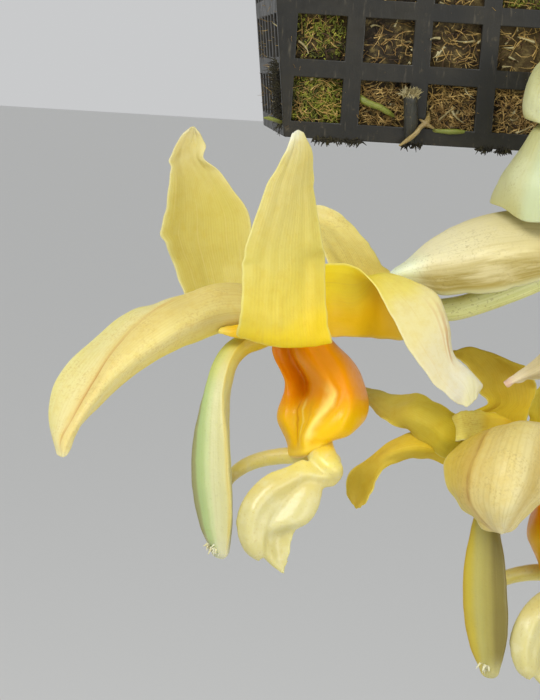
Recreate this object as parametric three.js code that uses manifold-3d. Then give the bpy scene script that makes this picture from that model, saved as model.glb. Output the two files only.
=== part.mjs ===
// A hanging orchid: Stanhopea shuttleworthii in a square lattice basket.
// Millimetres, +Z up. The origin is under the crown of the hanger's hook, where it rests on a rail.
import * as THREE from "three";
import { mergeVertices } from "three/addons/utils/BufferGeometryUtils.js";
import Module from "manifold-3d";

const wasm = await Module();
wasm.setup();
const { Manifold, Mesh: SolidMesh } = wasm;

// Driving dimensions: the basket
const BASKET_BOTTOM_WIDTH = 126.5;
const BASKET_TOP_WIDTH = 150;
const BASKET_HEIGHT = 96;
const BASKET_WALL = 2.2;
const COLUMN_PITCH = 18.3;
const ROW_PITCH = 16.9;
const OPENING_WIDTH = 13.4;
const OPENING_HEIGHT = 12;
const LOWER_BAND = 4.5;
const WALL_COLUMNS = 7;
const WALL_ROWS = 5;
const FLOOR_COLUMNS = 4;
const FLOOR_OPENING = 22;
const RIM_WIDTH = 5;
const RIM_HEIGHT = 4;
const EYE_RADIUS = 2.6;
const EAR_RADIUS = 5.2;
const EYE_OFFSET = 80;

// Growing medium: drop below the rim, height of its dome, depth of its dents
const MEDIUM_DROP = 7;
const MEDIUM_DOME = 9;
const MEDIUM_RELIEF = 1.6;

// Hanger
const HANGER_HEIGHT = 300;
const WIRE_RADIUS = 1;
const HOOK_RADIUS = 9;
const TWIST_LENGTH = 34;
const TWIST_RADIUS = 1.8;
const WIRE_SPREAD = 1.5;

// Pseudobulbs and leaves
const BULB_HEIGHT = 46;
const BULB_RADIUS = 13;
const BULB_RING = 24;
const BULB_SUNK = 6;
const BULB_PROFILE = [
  [0, 0], [0.62, 0.02], [0.92, 0.18], [1, 0.38], [0.84, 0.64], [0.5, 0.86], [0.24, 0.96], [0, 1],
];
const LEAF_COUNT = 4;
const LEAF_TURN = 4;
const LEAF_THICKNESS = 0.8;
const PETIOLE_HEIGHT = 62;
const PETIOLE_SHARE = 0.18;
const LEAF_REACH = 175;
const LEAF_RISE = 105;
const LEAF_DROOP = 95;
const LEAF_HALF_WIDTH = 40;
const LEAF_ROWS = 8;
const LEAF_PLEATS = 7;
const PLEAT_DEPTH = 2.4;
const PETIOLE_HALF_WIDTH = 2.2;
const LEAF_CURL = 7;

// Spike and flowers
const TEPAL_THICKNESS = 1;
const BRACT_THICKNESS = 0.8;
const SAC_THICKNESS = 1.8;
const OVARY_RADIUS = 2.8;
const HEART_RADIUS = 7.2;
const HEART = [2, 0.6, 3.8];
const COLUMN_FACING = 25;

// Space kept between pieces that touch
const GAP = 0.3;

const BASKET_FLOOR_Z = -HANGER_HEIGHT - BASKET_HEIGHT;
const RIM_Z = -HANGER_HEIGHT;

// The spike's own frame: x across the basket's front, y away from the viewer, z up,
// origin at the heart of the first flower
const SPIKE_PLACE = new THREE.Vector3(-57.9, -101, BASKET_FLOOR_Z - 50.1);
const SPIKE_TURN = -3;
const SPIKE_LEAN = -6;
const SPIKE_SWING = -3.5;

const COLOURS = {
  basket: { color: 0x1d2023, roughness: 0.55, metalness: 0 },
  medium: { color: 0x5c4a26, roughness: 0.95, metalness: 0 },
  wire: { color: 0x9a9da0, roughness: 0.35, metalness: 1 },
  bulb: { color: 0x4f6b2a, roughness: 0.5, metalness: 0 },
  leaf: { color: 0x2f5a22, roughness: 0.45, metalness: 0 },
  sepal: { color: 0xefe2a0, roughness: 0.55, metalness: 0 },
  petal: { color: 0xe9d55e, roughness: 0.5, metalness: 0 },
  column: { color: 0xcbd98a, roughness: 0.45, metalness: 0 },
  sac: { color: 0xf09a0a, roughness: 0.3, metalness: 0 },
  forelip: { color: 0xefe8b4, roughness: 0.35, metalness: 0 },
  ovary: { color: 0xc9d8a4, roughness: 0.5, metalness: 0 },
  bract: { color: 0xd8cf97, roughness: 0.6, metalness: 0 },
  stalk: { color: 0x8fa05a, roughness: 0.5, metalness: 0 },
};

// Geometry to solid and back
function toSolid(geometry) {
  const bare = geometry.clone();
  bare.deleteAttribute("normal");
  bare.deleteAttribute("uv");
  const merged = mergeVertices(bare, 1e-4);
  return new Manifold(new SolidMesh({
    numProp: 3,
    vertProperties: new Float32Array(merged.attributes.position.array),
    triVerts: new Uint32Array(merged.index.array),
  }));
}

function toGeometry(solid) {
  const mesh = solid.getMesh();
  const geometry = new THREE.BufferGeometry();
  geometry.setAttribute("position", new THREE.BufferAttribute(mesh.vertProperties, 3));
  geometry.setIndex(new THREE.BufferAttribute(mesh.triVerts, 1));
  return geometry;
}

// The largest single body of a solid, so that a cut leaves no loose scrap
function largestBody(solid) {
  const bodies = solid.decompose();
  return bodies.reduce((best, body) => (body.volume() > best.volume() ? body : best));
}

function smooth(points, t) {
  return new THREE.CatmullRomCurve3(points, false, "catmullrom", 0.5).getPoint(t);
}

// A sheet from a net of points: rows run along it, the points of a row run across it.
// offset grows it on every side, for the cut that a neighbour gets.
function sheet(net, { along, across, thickness, offset = 0 }) {
  const rows = net.map((row) => row.map((p) => new THREE.Vector3(...p)));
  const middle = [];
  for (let i = 0; i <= along; i += 1) {
    const stations = rows[0].map((_, column) => smooth(rows.map((row) => row[column]), i / along));
    middle.push(Array.from({ length: across + 1 }, (_, j) => smooth(stations, j / across)));
  }
  const half = thickness / 2 + offset;
  const front = [];
  const back = [];
  const spread = new THREE.Vector3();
  for (let i = 0; i <= along; i += 1) {
    for (let j = 0; j <= across; j += 1) {
      const ahead = middle[Math.min(i + 1, along)][j].clone().sub(middle[Math.max(i - 1, 0)][j]);
      const aside = middle[i][Math.min(j + 1, across)].clone().sub(middle[i][Math.max(j - 1, 0)]);
      const normal = ahead.cross(aside).normalize();
      spread.set(0, 0, 0);
      if (offset > 0 && (j === 0 || j === across)) {
        spread.copy(aside).setLength(j === 0 ? -offset : offset);
      }
      if (offset > 0 && (i === 0 || i === along)) {
        const end = middle[Math.min(i + 1, along)][j].clone().sub(middle[Math.max(i - 1, 0)][j]);
        spread.add(end.setLength(i === 0 ? -offset : offset));
      }
      front.push(middle[i][j].clone().addScaledVector(normal, half).add(spread));
      back.push(middle[i][j].clone().addScaledVector(normal, -half).add(spread));
    }
  }
  const wide = across + 1;
  const shift = front.length;
  const index = [];
  const quad = (a, b, c, d) => index.push(a, b, c, a, c, d);
  for (let i = 0; i < along; i += 1) {
    for (let j = 0; j < across; j += 1) {
      const a = i * wide + j;
      index.push(a, a + wide, a + wide + 1, a, a + wide + 1, a + 1);
      const b = a + shift;
      index.push(b, b + wide + 1, b + wide, b, b + 1, b + wide + 1);
    }
    const left = i * wide;
    const right = left + across;
    quad(left, left + shift, left + wide + shift, left + wide);
    quad(right + wide, right + wide + shift, right + shift, right);
  }
  const last = along * wide;
  for (let j = 0; j < across; j += 1) {
    quad(j + 1, j + 1 + shift, j + shift, j);
    quad(last + j, last + j + shift, last + j + 1 + shift, last + j + 1);
  }
  const geometry = new THREE.BufferGeometry().setFromPoints([...front, ...back]);
  geometry.setIndex(index);
  return geometry;
}

// A stem or horn through stations [x, y, z, half width, half depth, third size].
// section gives the outline as [width, depth] pairs; side is the direction of its width.
const roundSection = (sides) => (size) => Array.from({ length: sides }, (_, k) => {
  const angle = (k / sides) * 2 * Math.PI;
  return [size[0] * Math.cos(angle), size[1] * Math.sin(angle)];
});

function tube(stations, { steps, section, side, offset = 0 }) {
  const centres = stations.map((s) => new THREE.Vector3(s[0], s[1], s[2]));
  if (offset > 0) {
    const first = centres[0].clone().sub(centres[1]).setLength(offset);
    const last = centres.at(-1).clone().sub(centres.at(-2)).setLength(offset);
    centres[0].add(first);
    centres.at(-1).add(last);
  }
  const sizes = stations.map((s) => new THREE.Vector3(s[3], s[4] ?? s[3], s[5] ?? 0).addScalar(offset));
  const curve = new THREE.CatmullRomCurve3(centres, false, "catmullrom", 0.5);
  const points = [];
  let count = 0;
  for (let i = 0; i <= steps; i += 1) {
    const t = i / steps;
    const centre = curve.getPoint(t);
    const tangent = curve.getTangent(t);
    const width = new THREE.Vector3(...side).projectOnPlane(tangent).normalize();
    const depth = tangent.clone().cross(width);
    const outline = section(smooth(sizes, t).toArray());
    count = outline.length;
    for (const [w, d] of outline) {
      points.push(centre.clone().addScaledVector(width, w).addScaledVector(depth, d));
    }
  }
  points.push(centres[0], centres.at(-1));
  const index = [];
  for (let i = 0; i < steps; i += 1) {
    for (let k = 0; k < count; k += 1) {
      const a = i * count + k;
      const b = i * count + ((k + 1) % count);
      index.push(a, b, b + count, a, b + count, a + count);
    }
  }
  const top = steps * count;
  for (let k = 0; k < count; k += 1) {
    const next = (k + 1) % count;
    index.push(points.length - 2, next, k);
    index.push(points.length - 1, top + k, top + next);
  }
  const geometry = new THREE.BufferGeometry().setFromPoints(points);
  geometry.setIndex(index);
  return geometry;
}

const part = new THREE.Group();
const upright = new THREE.Matrix4();

// Solids of the pieces placed so far, grown by the gap
const grownPieces = [];

function boxesMeet(a, b) {
  const boxA = a.boundingBox();
  const boxB = b.boundingBox();
  return [0, 1, 2].every((k) => boxA.min[k] <= boxB.max[k] && boxB.min[k] <= boxA.max[k]);
}

// Adds a piece cut clear of those before it. make(offset) gives its geometry or solid,
// grown by the offset on every side.
function place(name, look, make, matrix = upright) {
  const [solid, grown] = [0, GAP].map((offset) => {
    const shape = make(offset);
    const geometry = shape.isBufferGeometry ? shape : toGeometry(shape);
    return toSolid(geometry.applyMatrix4(matrix));
  });
  const near = grownPieces.filter((other) => boxesMeet(other, solid));
  const clear = near.length > 0 ? largestBody(solid.subtract(Manifold.union(near))) : solid;
  grownPieces.push(grown.add(solid));
  const mesh = new THREE.Mesh(toGeometry(clear), new THREE.MeshStandardMaterial(COLOURS[look]));
  mesh.name = name;
  part.add(mesh);
}

// Basket: a tapered lattice of one moulding
function frustum(bottomWidth, topWidth, bottomZ, topZ) {
  const outline = [
    new THREE.Vector2(0, bottomZ),
    new THREE.Vector2(bottomWidth / Math.SQRT2, bottomZ),
    new THREE.Vector2(topWidth / Math.SQRT2, topZ),
    new THREE.Vector2(0, topZ),
  ];
  return new THREE.LatheGeometry(outline, 4, Math.PI / 4).rotateX(Math.PI / 2);
}

function box(width, depth, height, x, y, z) {
  return new THREE.BoxGeometry(width, depth, height).translate(x, y, z);
}

const CORNERS = [[-1, -1], [1, -1], [1, 1], [-1, 1]];

// Half the basket's outer width at a height above its floor
function halfWidthAt(height) {
  const share = height / BASKET_HEIGHT;
  return (BASKET_BOTTOM_WIDTH + (BASKET_TOP_WIDTH - BASKET_BOTTOM_WIDTH) * share) / 2;
}

function makeBasket() {
  const floor = BASKET_FLOOR_Z;
  const outer = toSolid(frustum(BASKET_BOTTOM_WIDTH, BASKET_TOP_WIDTH, floor, RIM_Z));
  const rimOuter = BASKET_TOP_WIDTH + 2 * RIM_WIDTH;
  const rim = toSolid(box(rimOuter, rimOuter, RIM_HEIGHT, 0, 0, RIM_Z - RIM_HEIGHT / 2));
  const reach = 10;
  const lean = (BASKET_TOP_WIDTH - BASKET_BOTTOM_WIDTH) / BASKET_HEIGHT;
  const inner = toSolid(frustum(
    BASKET_BOTTOM_WIDTH - 2 * BASKET_WALL,
    BASKET_TOP_WIDTH - 2 * BASKET_WALL + lean * reach,
    floor + BASKET_WALL,
    RIM_Z + reach,
  ));
  const cuts = [inner];
  const cutDepth = 30;
  for (let row = 0; row < WALL_ROWS; row += 1) {
    const z = floor + LOWER_BAND + OPENING_HEIGHT / 2 + row * ROW_PITCH;
    const wall = halfWidthAt(z - floor);
    for (let column = 0; column < WALL_COLUMNS; column += 1) {
      const across = (column - (WALL_COLUMNS - 1) / 2) * COLUMN_PITCH;
      for (const side of [-1, 1]) {
        cuts.push(toSolid(box(OPENING_WIDTH, cutDepth, OPENING_HEIGHT, across, side * wall, z)));
        cuts.push(toSolid(box(cutDepth, OPENING_WIDTH, OPENING_HEIGHT, side * wall, across, z)));
      }
    }
  }
  const floorPitch = (BASKET_BOTTOM_WIDTH - 2 * BASKET_WALL) / FLOOR_COLUMNS;
  for (let i = 0; i < FLOOR_COLUMNS; i += 1) {
    for (let j = 0; j < FLOOR_COLUMNS; j += 1) {
      const x = (i - (FLOOR_COLUMNS - 1) / 2) * floorPitch;
      const y = (j - (FLOOR_COLUMNS - 1) / 2) * floorPitch;
      cuts.push(toSolid(box(FLOOR_OPENING, FLOOR_OPENING, 3 * BASKET_WALL, x, y, floor)));
    }
  }
  const disc = (radius, height) => new THREE.CylinderGeometry(radius, radius, height, 10)
    .rotateX(Math.PI / 2)
    .translate(0, 0, RIM_Z - RIM_HEIGHT / 2);
  const ears = [];
  for (const [sx, sy] of CORNERS) {
    cuts.push(toSolid(disc(EYE_RADIUS, 3 * RIM_HEIGHT).translate(sx * EYE_OFFSET, sy * EYE_OFFSET, 0)));
    ears.push(toSolid(disc(EAR_RADIUS, RIM_HEIGHT).translate(sx * EYE_OFFSET, sy * EYE_OFFSET, 0)));
  }
  return Manifold.union([outer, rim, ...ears]).subtract(Manifold.union(cuts));
}

// A repeatable unevenness between 0 and 1 for a place
function unevenness(x, y, z) {
  const wave = Math.sin(x * 12.9898 + y * 78.233 + z * 37.719) * 43758.5453;
  return wave - Math.floor(wave);
}

// Growing medium: a lumpy block that fills the basket to just under its rim
function mediumTop(x, y) {
  const share = Math.max(0, 1 - Math.hypot(x, y) / (BASKET_TOP_WIDTH / 2));
  return RIM_Z - MEDIUM_DROP + MEDIUM_DOME * share;
}

function makeMedium() {
  const bottom = BASKET_FLOOR_Z + BASKET_WALL + GAP;
  const height = RIM_Z - MEDIUM_DROP - bottom;
  const geometry = new THREE.BoxGeometry(2, 2, 1, 6, 6, 4);
  const position = geometry.attributes.position;
  for (let i = 0; i < position.count; i += 1) {
    const side = [position.getX(i), position.getY(i)];
    const level = position.getZ(i) + 0.5;
    const half = halfWidthAt(bottom + level * height - BASKET_FLOOR_Z) - BASKET_WALL - 2 * GAP;
    const dent = unevenness(side[0], side[1], level) * MEDIUM_RELIEF;
    const wall = Math.max(Math.abs(side[0]), Math.abs(side[1])) > 0.99;
    const spread = wall ? half - dent : half;
    const x = side[0] * spread;
    const y = side[1] * spread;
    let z = bottom + level * height;
    if (level > 0.99) z = mediumTop(x, y) - dent;
    position.setXYZ(i, x, y, z);
  }
  return geometry;
}

// Pseudobulbs stand in the medium; each one carries one pleated leaf
function bulbPlace(number) {
  const angle = THREE.MathUtils.degToRad(LEAF_TURN + number * (360 / LEAF_COUNT));
  return { x: BULB_RING * Math.cos(angle), y: BULB_RING * Math.sin(angle), angle };
}

function makeBulb({ x, y }, offset) {
  const outline = BULB_PROFILE.map(([r, h]) => new THREE.Vector2(
    r * (BULB_RADIUS + offset),
    h * (BULB_HEIGHT + 2 * offset) - offset,
  ));
  const geometry = new THREE.LatheGeometry(outline, 9).rotateX(Math.PI / 2);
  return geometry.translate(x, y, mediumTop(x, y) - BULB_SUNK);
}

function makeLeaf({ x, y, angle }, offset) {
  const foot = mediumTop(x, y) - BULB_SUNK + BULB_HEIGHT + 1.2 * GAP;
  const outward = new THREE.Vector3(Math.cos(angle), Math.sin(angle), 0);
  const aside = new THREE.Vector3(-Math.sin(angle), Math.cos(angle), 0);
  const net = [];
  for (let row = 0; row <= LEAF_ROWS; row += 1) {
    const t = row / LEAF_ROWS;
    const blade = Math.max(0, (t - PETIOLE_SHARE) / (1 - PETIOLE_SHARE));
    const reach = 4 * t + LEAF_REACH * blade ** 1.25;
    const rise = PETIOLE_HEIGHT * Math.min(1, t / 0.3) + LEAF_RISE * blade - LEAF_DROOP * blade ** 2.2;
    const fullness = Math.max(0, Math.sin(Math.PI * blade ** 0.8)) ** 0.9 * (1 - 0.12 * blade);
    const half = PETIOLE_HALF_WIDTH + LEAF_HALF_WIDTH * fullness;
    const centre = new THREE.Vector3(x, y, foot + rise).addScaledVector(outward, reach);
    const stations = [];
    for (let j = 0; j < LEAF_PLEATS; j += 1) {
      const share = (2 * j) / (LEAF_PLEATS - 1) - 1;
      const pleat = (j % 2 === 0 ? 1 : -1) * PLEAT_DEPTH * Math.min(1, blade * 4) * (1 - blade ** 4);
      const curl = LEAF_CURL * share * share * Math.sin(Math.PI * blade);
      const point = centre.clone().addScaledVector(aside, share * half);
      point.z += pleat / 2 + curl;
      stations.push(point.toArray());
    }
    net.push(stations);
  }
  return sheet(net, { along: LEAF_ROWS, across: LEAF_PLEATS - 1, thickness: LEAF_THICKNESS, offset });
}

// Hanger: a hook on a twisted shaft, and four wires from the shaft to the eyes, each with
// its foot turned outward under an ear
const SHAFT_TOP = -2 * HOOK_RADIUS;
const SHAFT_BOTTOM = SHAFT_TOP - TWIST_LENGTH;

function makeHook() {
  const shaftFoot = TWIST_RADIUS + 0.9;
  const shaft = new THREE.CylinderGeometry(TWIST_RADIUS, shaftFoot, TWIST_LENGTH, 8).rotateX(Math.PI / 2);
  const stations = [[0, 0, SHAFT_TOP - 3, TWIST_RADIUS]];
  const ring = HOOK_RADIUS + TWIST_RADIUS;
  for (let degrees = -80; degrees <= 200; degrees += 20) {
    const angle = THREE.MathUtils.degToRad(degrees);
    stations.push([ring * Math.cos(angle), 0, -HOOK_RADIUS + ring * Math.sin(angle), TWIST_RADIUS]);
  }
  const hook = tube(stations, { steps: 18, section: roundSection(6), side: [0, 1, 0] });
  return Manifold.union([toSolid(shaft.translate(0, 0, (SHAFT_TOP + SHAFT_BOTTOM) / 2)), toSolid(hook)]);
}

function makeWire(sx, sy, offset) {
  const at = (distance, z) => [sx * distance, sy * distance, z, WIRE_RADIUS];
  const earBottom = RIM_Z - RIM_HEIGHT;
  const stations = [
    at(EYE_OFFSET + 3, earBottom - GAP),
    at(EYE_OFFSET + 2.8, earBottom - 1.6),
    at(EYE_OFFSET + 1.5, earBottom - 2.9),
    at(EYE_OFFSET + 0.2, earBottom - 1.6),
    at(EYE_OFFSET, RIM_Z - RIM_HEIGHT / 2),
  ];
  const wireTop = SHAFT_BOTTOM - GAP - WIRE_RADIUS / 2;
  for (const share of [0.01, 0.05, 0.15, 0.4, 1]) {
    const inward = THREE.MathUtils.lerp(EYE_OFFSET, WIRE_SPREAD, share);
    stations.push(at(inward, THREE.MathUtils.lerp(RIM_Z, wireTop, share)));
  }
  return tube(stations, { steps: 18, section: roundSection(4), side: [sx, -sy, 0], offset });
}

const spikeMatrix = new THREE.Matrix4().compose(
  SPIKE_PLACE,
  new THREE.Quaternion().setFromEuler(new THREE.Euler(
    THREE.MathUtils.degToRad(SPIKE_LEAN),
    THREE.MathUtils.degToRad(SPIKE_SWING),
    THREE.MathUtils.degToRad(SPIKE_TURN),
    "ZXY",
  )),
  new THREE.Vector3(1, 1, 1),
);

// Stations of the stalk, and control nets of its sheaths and of the flowers' bracts
const STALK = [
  [80, 48, 80, 2.9], [80, 38, 79, 2.9], [80, 28, 76.5, 2.8], [76.5, 19, 70.5, 2.8],
  [71, 11, 61, 2.7], [68, 8, 49, 2.7], [68.5, 7, 38, 2.6], [71, 8, 28, 2.6], [77, 13, 19.5, 2.5],
  [85, 22, 13, 2.4], [92, 29, 6, 2.3], [98, 35, -3, 2.1], [101, 39, -12, 1.7], [102, 41, -18, 0.9],
];

const SHEATHS = [
  [
    [
      [69, 13.5, 57], [66, 12, 57], [65, 8.5, 57], [67, 5, 57],
      [70.5, 5, 57], [73.5, 8, 57], [72.5, 12.5, 57],
    ],
    [
      [67, 18, 54.5], [62.5, 13, 54], [61.5, 5, 53], [65, 0, 52],
      [70, 0, 52], [75.5, 5.5, 53.5], [75.5, 16, 54.5],
    ],
    [
      [63, 22, 50], [59, 12, 49], [58.5, 1, 48], [63, -5, 46.5],
      [70, -5, 46.5], [76.5, 4, 49], [77.5, 18, 50],
    ],
    [
      [59, 22, 43], [54, 11, 42.5], [54.5, -1, 41], [60, -8, 38.5],
      [70, -8, 38.5], [78.5, 3, 41.5], [79.5, 18, 44],
    ],
    [
      [54.5, 19, 37], [50, 9, 35], [52.5, -1, 33], [58.5, -7, 29],
      [69, -8, 30], [79, 3, 34.5], [80.5, 17, 40],
    ],
  ],
  [
    [
      [80.5, 31, 80.5], [76.5, 30, 80], [75.5, 26, 77], [78, 21, 73.5],
      [82, 22, 74], [84, 26, 77], [83, 30, 80],
    ],
    [
      [75.5, 28, 78], [70, 24, 77], [68.5, 16, 73], [70.5, 9, 68.5],
      [76, 9, 68], [80.5, 15, 72], [81, 24, 77],
    ],
    [
      [70, 23, 73.5], [63.5, 17, 71.5], [61.5, 7, 67], [65.5, 1, 62],
      [73, 1, 61.5], [79, 9, 66.5], [80, 19, 72.5],
    ],
    [
      [67, 22, 67.5], [60.5, 14, 64.5], [59.5, 5, 59.5], [64.5, -1, 55.5],
      [72, -1, 56], [78.5, 7, 61.5], [79, 18, 67],
    ],
    [
      [65, 21, 62], [60, 13, 58.5], [59.5, 5, 56.5], [64.5, -1.5, 54.5],
      [71.5, -1.5, 55.5], [77.5, 7, 59], [78, 17, 63],
    ],
  ],
];

const BRACTS = [
  [
    [[76.5, 15.5, 20.5], [76, 9, 24.5], [76.5, 5.5, 20.5], [76, 5, 16]],
    [[72, 17, 22.5], [71, 11, 28.5], [70, 0, 22.5], [70.5, 1, 15.5]],
    [[63, 19, 24], [61.5, 11, 32.5], [60.5, -5, 23], [62, -2, 14]],
    [[52, 18, 23.5], [51.5, 10, 32], [51, -6, 22], [53.5, -3, 11.5]],
    [[41.5, 15, 21], [41, 9, 28.5], [42, -5, 20], [43, -2, 10.5]],
    [[33, 10, 19], [33, 6, 24], [34, -4, 18.5], [35.5, -1, 10.5]],
    [[27, 4, 17.5], [27, 2, 18.5], [28, -3, 17], [29, -1, 13]],
    [[23.5, 0.5, 15.5], [23.5, -0.5, 16], [23.5, -1, 15], [24, -1.5, 14.5]],
  ],
  [
    [[92.5, 32, 9], [90, 28, 10], [89, 24.5, 7.5], [90, 25.5, 3.5]],
    [[85, 31, 5.5], [82.5, 23, 10], [83, 14, 4.5], [83.5, 17, -1]],
    [[75, 22, -0.5], [72.5, 13, 3.5], [74, 2, -2.5], [75, 5, -8]],
    [[66, 9, -6], [64.5, 4, -4], [64.5, -5, -7], [66.5, -2, -11]],
    [[58, -3, -10], [57.5, -5, -9], [57.5, -8, -10.5], [58, -7, -12]],
    [[52.5, -9.5, -12.5], [52, -10, -12], [52.5, -10.5, -13], [53, -10, -13.5]],
  ],
  [
    [[100, 39, -5], [102, 36, -3], [104, 38, -6], [103, 41, -10]],
    [[103, 51, -3], [107, 45, 4], [113, 42, -6], [112, 48, -15]],
    [[113, 64, -10], [119, 57, -3], [127, 54, -14], [124, 59, -23]],
    [[127, 72, -18], [131, 67, -13], [138, 63, -22], [135, 67, -29]],
    [[142, 77, -27], [143, 76, -26], [144, 74, -28], [143, 75, -30]],
  ],
];

// Control nets of the tepals, each in its flower's own frame, from base to tip
const FIRST_TEPALS = {
  dorsalSepal: [
    [[-4, 4, 3.5], [-3, 0, 6], [-2.5, -4, 2.5], [-4, -2, 0.5]],
    [[-11.5, 4, 10], [-11.5, -2, 11.5], [-11, -9, 6], [-11.5, -6, 1.5]],
    [[-20.5, 0, 10], [-20.5, -5, 13], [-19.5, -13, 6.5], [-20, -10, 0.5]],
    [[-29.5, -3, 8.5], [-29.5, -8, 10], [-27, -17, 4], [-28, -13, -2.5]],
    [[-36, -6, 8.5], [-34.5, -13, 7.5], [-33.5, -21, 0.5], [-35.5, -17, -6]],
    [[-42.5, -9, 6], [-41, -17, 2.5], [-40.5, -24, -4.5], [-43, -20, -11]],
    [[-50.5, -13, 1], [-47, -22, -4], [-47, -27, -10.5], [-50, -23, -17]],
    [[-57.5, -19, -5.5], [-52, -27, -12], [-52, -30, -17], [-55, -26, -22]],
    [[-62.5, -24, -14], [-56.5, -31, -20], [-55.5, -31.5, -23], [-57, -28, -26.5]],
    [[-63, -28, -22.5], [-59.5, -32, -26], [-58, -32, -27.5], [-57.5, -30, -28.5]],
    [[-60.5, -31, -30], [-59.5, -32, -30.5], [-59, -32, -30.5], [-58.5, -31.5, -30]],
  ],
  nearPetal: [
    [[-4.5, -3, 3.5], [-2.5, -4, 4], [-1, -3, 3.5]],
    [[-11, -15, 0], [-3, -13, -0.5], [4.5, -11, 0.5]],
    [[-16, -29, -0.5], [-4, -24, -3], [8, -19, -2]],
    [[-15.5, -34, 3], [-4.5, -28, 2], [7, -21, 2.5]],
    [[-15, -36, 8], [-4.5, -29, 8.5], [6.5, -21, 8]],
    [[-14.5, -37, 16], [-4, -30, 16.5], [6, -21, 17.5]],
    [[-14, -38, 21], [-4, -31, 22], [5.5, -24, 22]],
    [[-11.5, -38, 28.5], [-3, -32, 29], [4.5, -26, 28.5]],
    [[-8, -38, 37.5], [-2, -34, 37.5], [3, -29, 37.5]],
    [[-4, -38, 45.5], [-0.5, -35, 45.5], [2.5, -32, 45]],
    [[-2, -37, 49.5], [-1, -35, 50.5], [0.5, -34, 50]],
  ],
  farPetal: [
    [[-4.5, 5, 4.5], [-3.5, 6, 3.5], [-2.5, 7, 4]],
    [[-16.5, 12, 3.5], [-12.5, 12, 2], [-8.5, 13, 3]],
    [[-27, 15, 4.5], [-19, 17, 1.5], [-11, 19, 3.5]],
    [[-30.5, 17, 10.5], [-21, 21, 9.5], [-11.5, 22, 10]],
    [[-33, 18, 18], [-23, 23, 18], [-12, 23, 18]],
    [[-36.5, 17, 25.5], [-24.5, 23, 25.5], [-12.5, 23, 25.5]],
    [[-36, 18, 33], [-25, 23, 33], [-13.5, 23, 33]],
    [[-34.5, 18, 41], [-27, 22.5, 41.5], [-19, 22, 41]],
    [[-34.5, 20, 47.5], [-29.5, 22.5, 48], [-25, 21, 48]],
    [[-31.5, 21, 53.5], [-28.5, 22, 53.5], [-26, 21.5, 53]],
    [[-29, 21, 55.5], [-28.5, 21, 56], [-27.5, 21, 55.5]],
  ],
  nearLateral: [
    [[4.5, -3, 9], [4.5, 1, 6], [4.5, -1, 2]],
    [[8.5, -4, 18.5], [10, 2, 9.5], [9.5, -2, -0.5]],
    [[13.5, -6, 18], [14.5, 4, 9], [14.5, 0, -0.5]],
    [[18.5, -10, 13], [21, 0, 15], [20.5, 5, -1]],
    [[22.5, -14, 6], [29, -4, 13.5], [26, 6, -1.5]],
    [[26, -17, -1.5], [35, -8, 10], [30, 4, -1.5]],
    [[31, -18, -9], [37.5, -11, 3], [35.5, 0, -4]],
    [[36, -17, -15], [38.5, -13, -5.5], [40, -5, -8.5]],
    [[40, -15, -17.5], [42.5, -13, -10.5], [46, -8, -12.5]],
    [[42.5, -13, -18.5], [44, -12, -17.5], [45.5, -10, -16]],
  ],
  farLateral: [
    [[5, 5, 9], [7, 6, 9.5], [9, 7, 8.5]],
    [[10, 9, 14.5], [16.5, 13, 13.5], [23.5, 16, 15.5]],
    [[7.5, 12, 19.5], [14.5, 18, 19.5], [22, 21, 19]],
    [[5, 18, 24.5], [11.5, 24, 25], [18.5, 25, 25]],
    [[2, 23, 28.5], [8, 28, 29.5], [13.5, 29, 31]],
    [[-2, 27, 31], [3, 30, 32.5], [7.5, 30, 35]],
    [[-5, 30, 33], [-3.5, 31, 34.5], [-2.5, 30, 36]],
  ],
};

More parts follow.
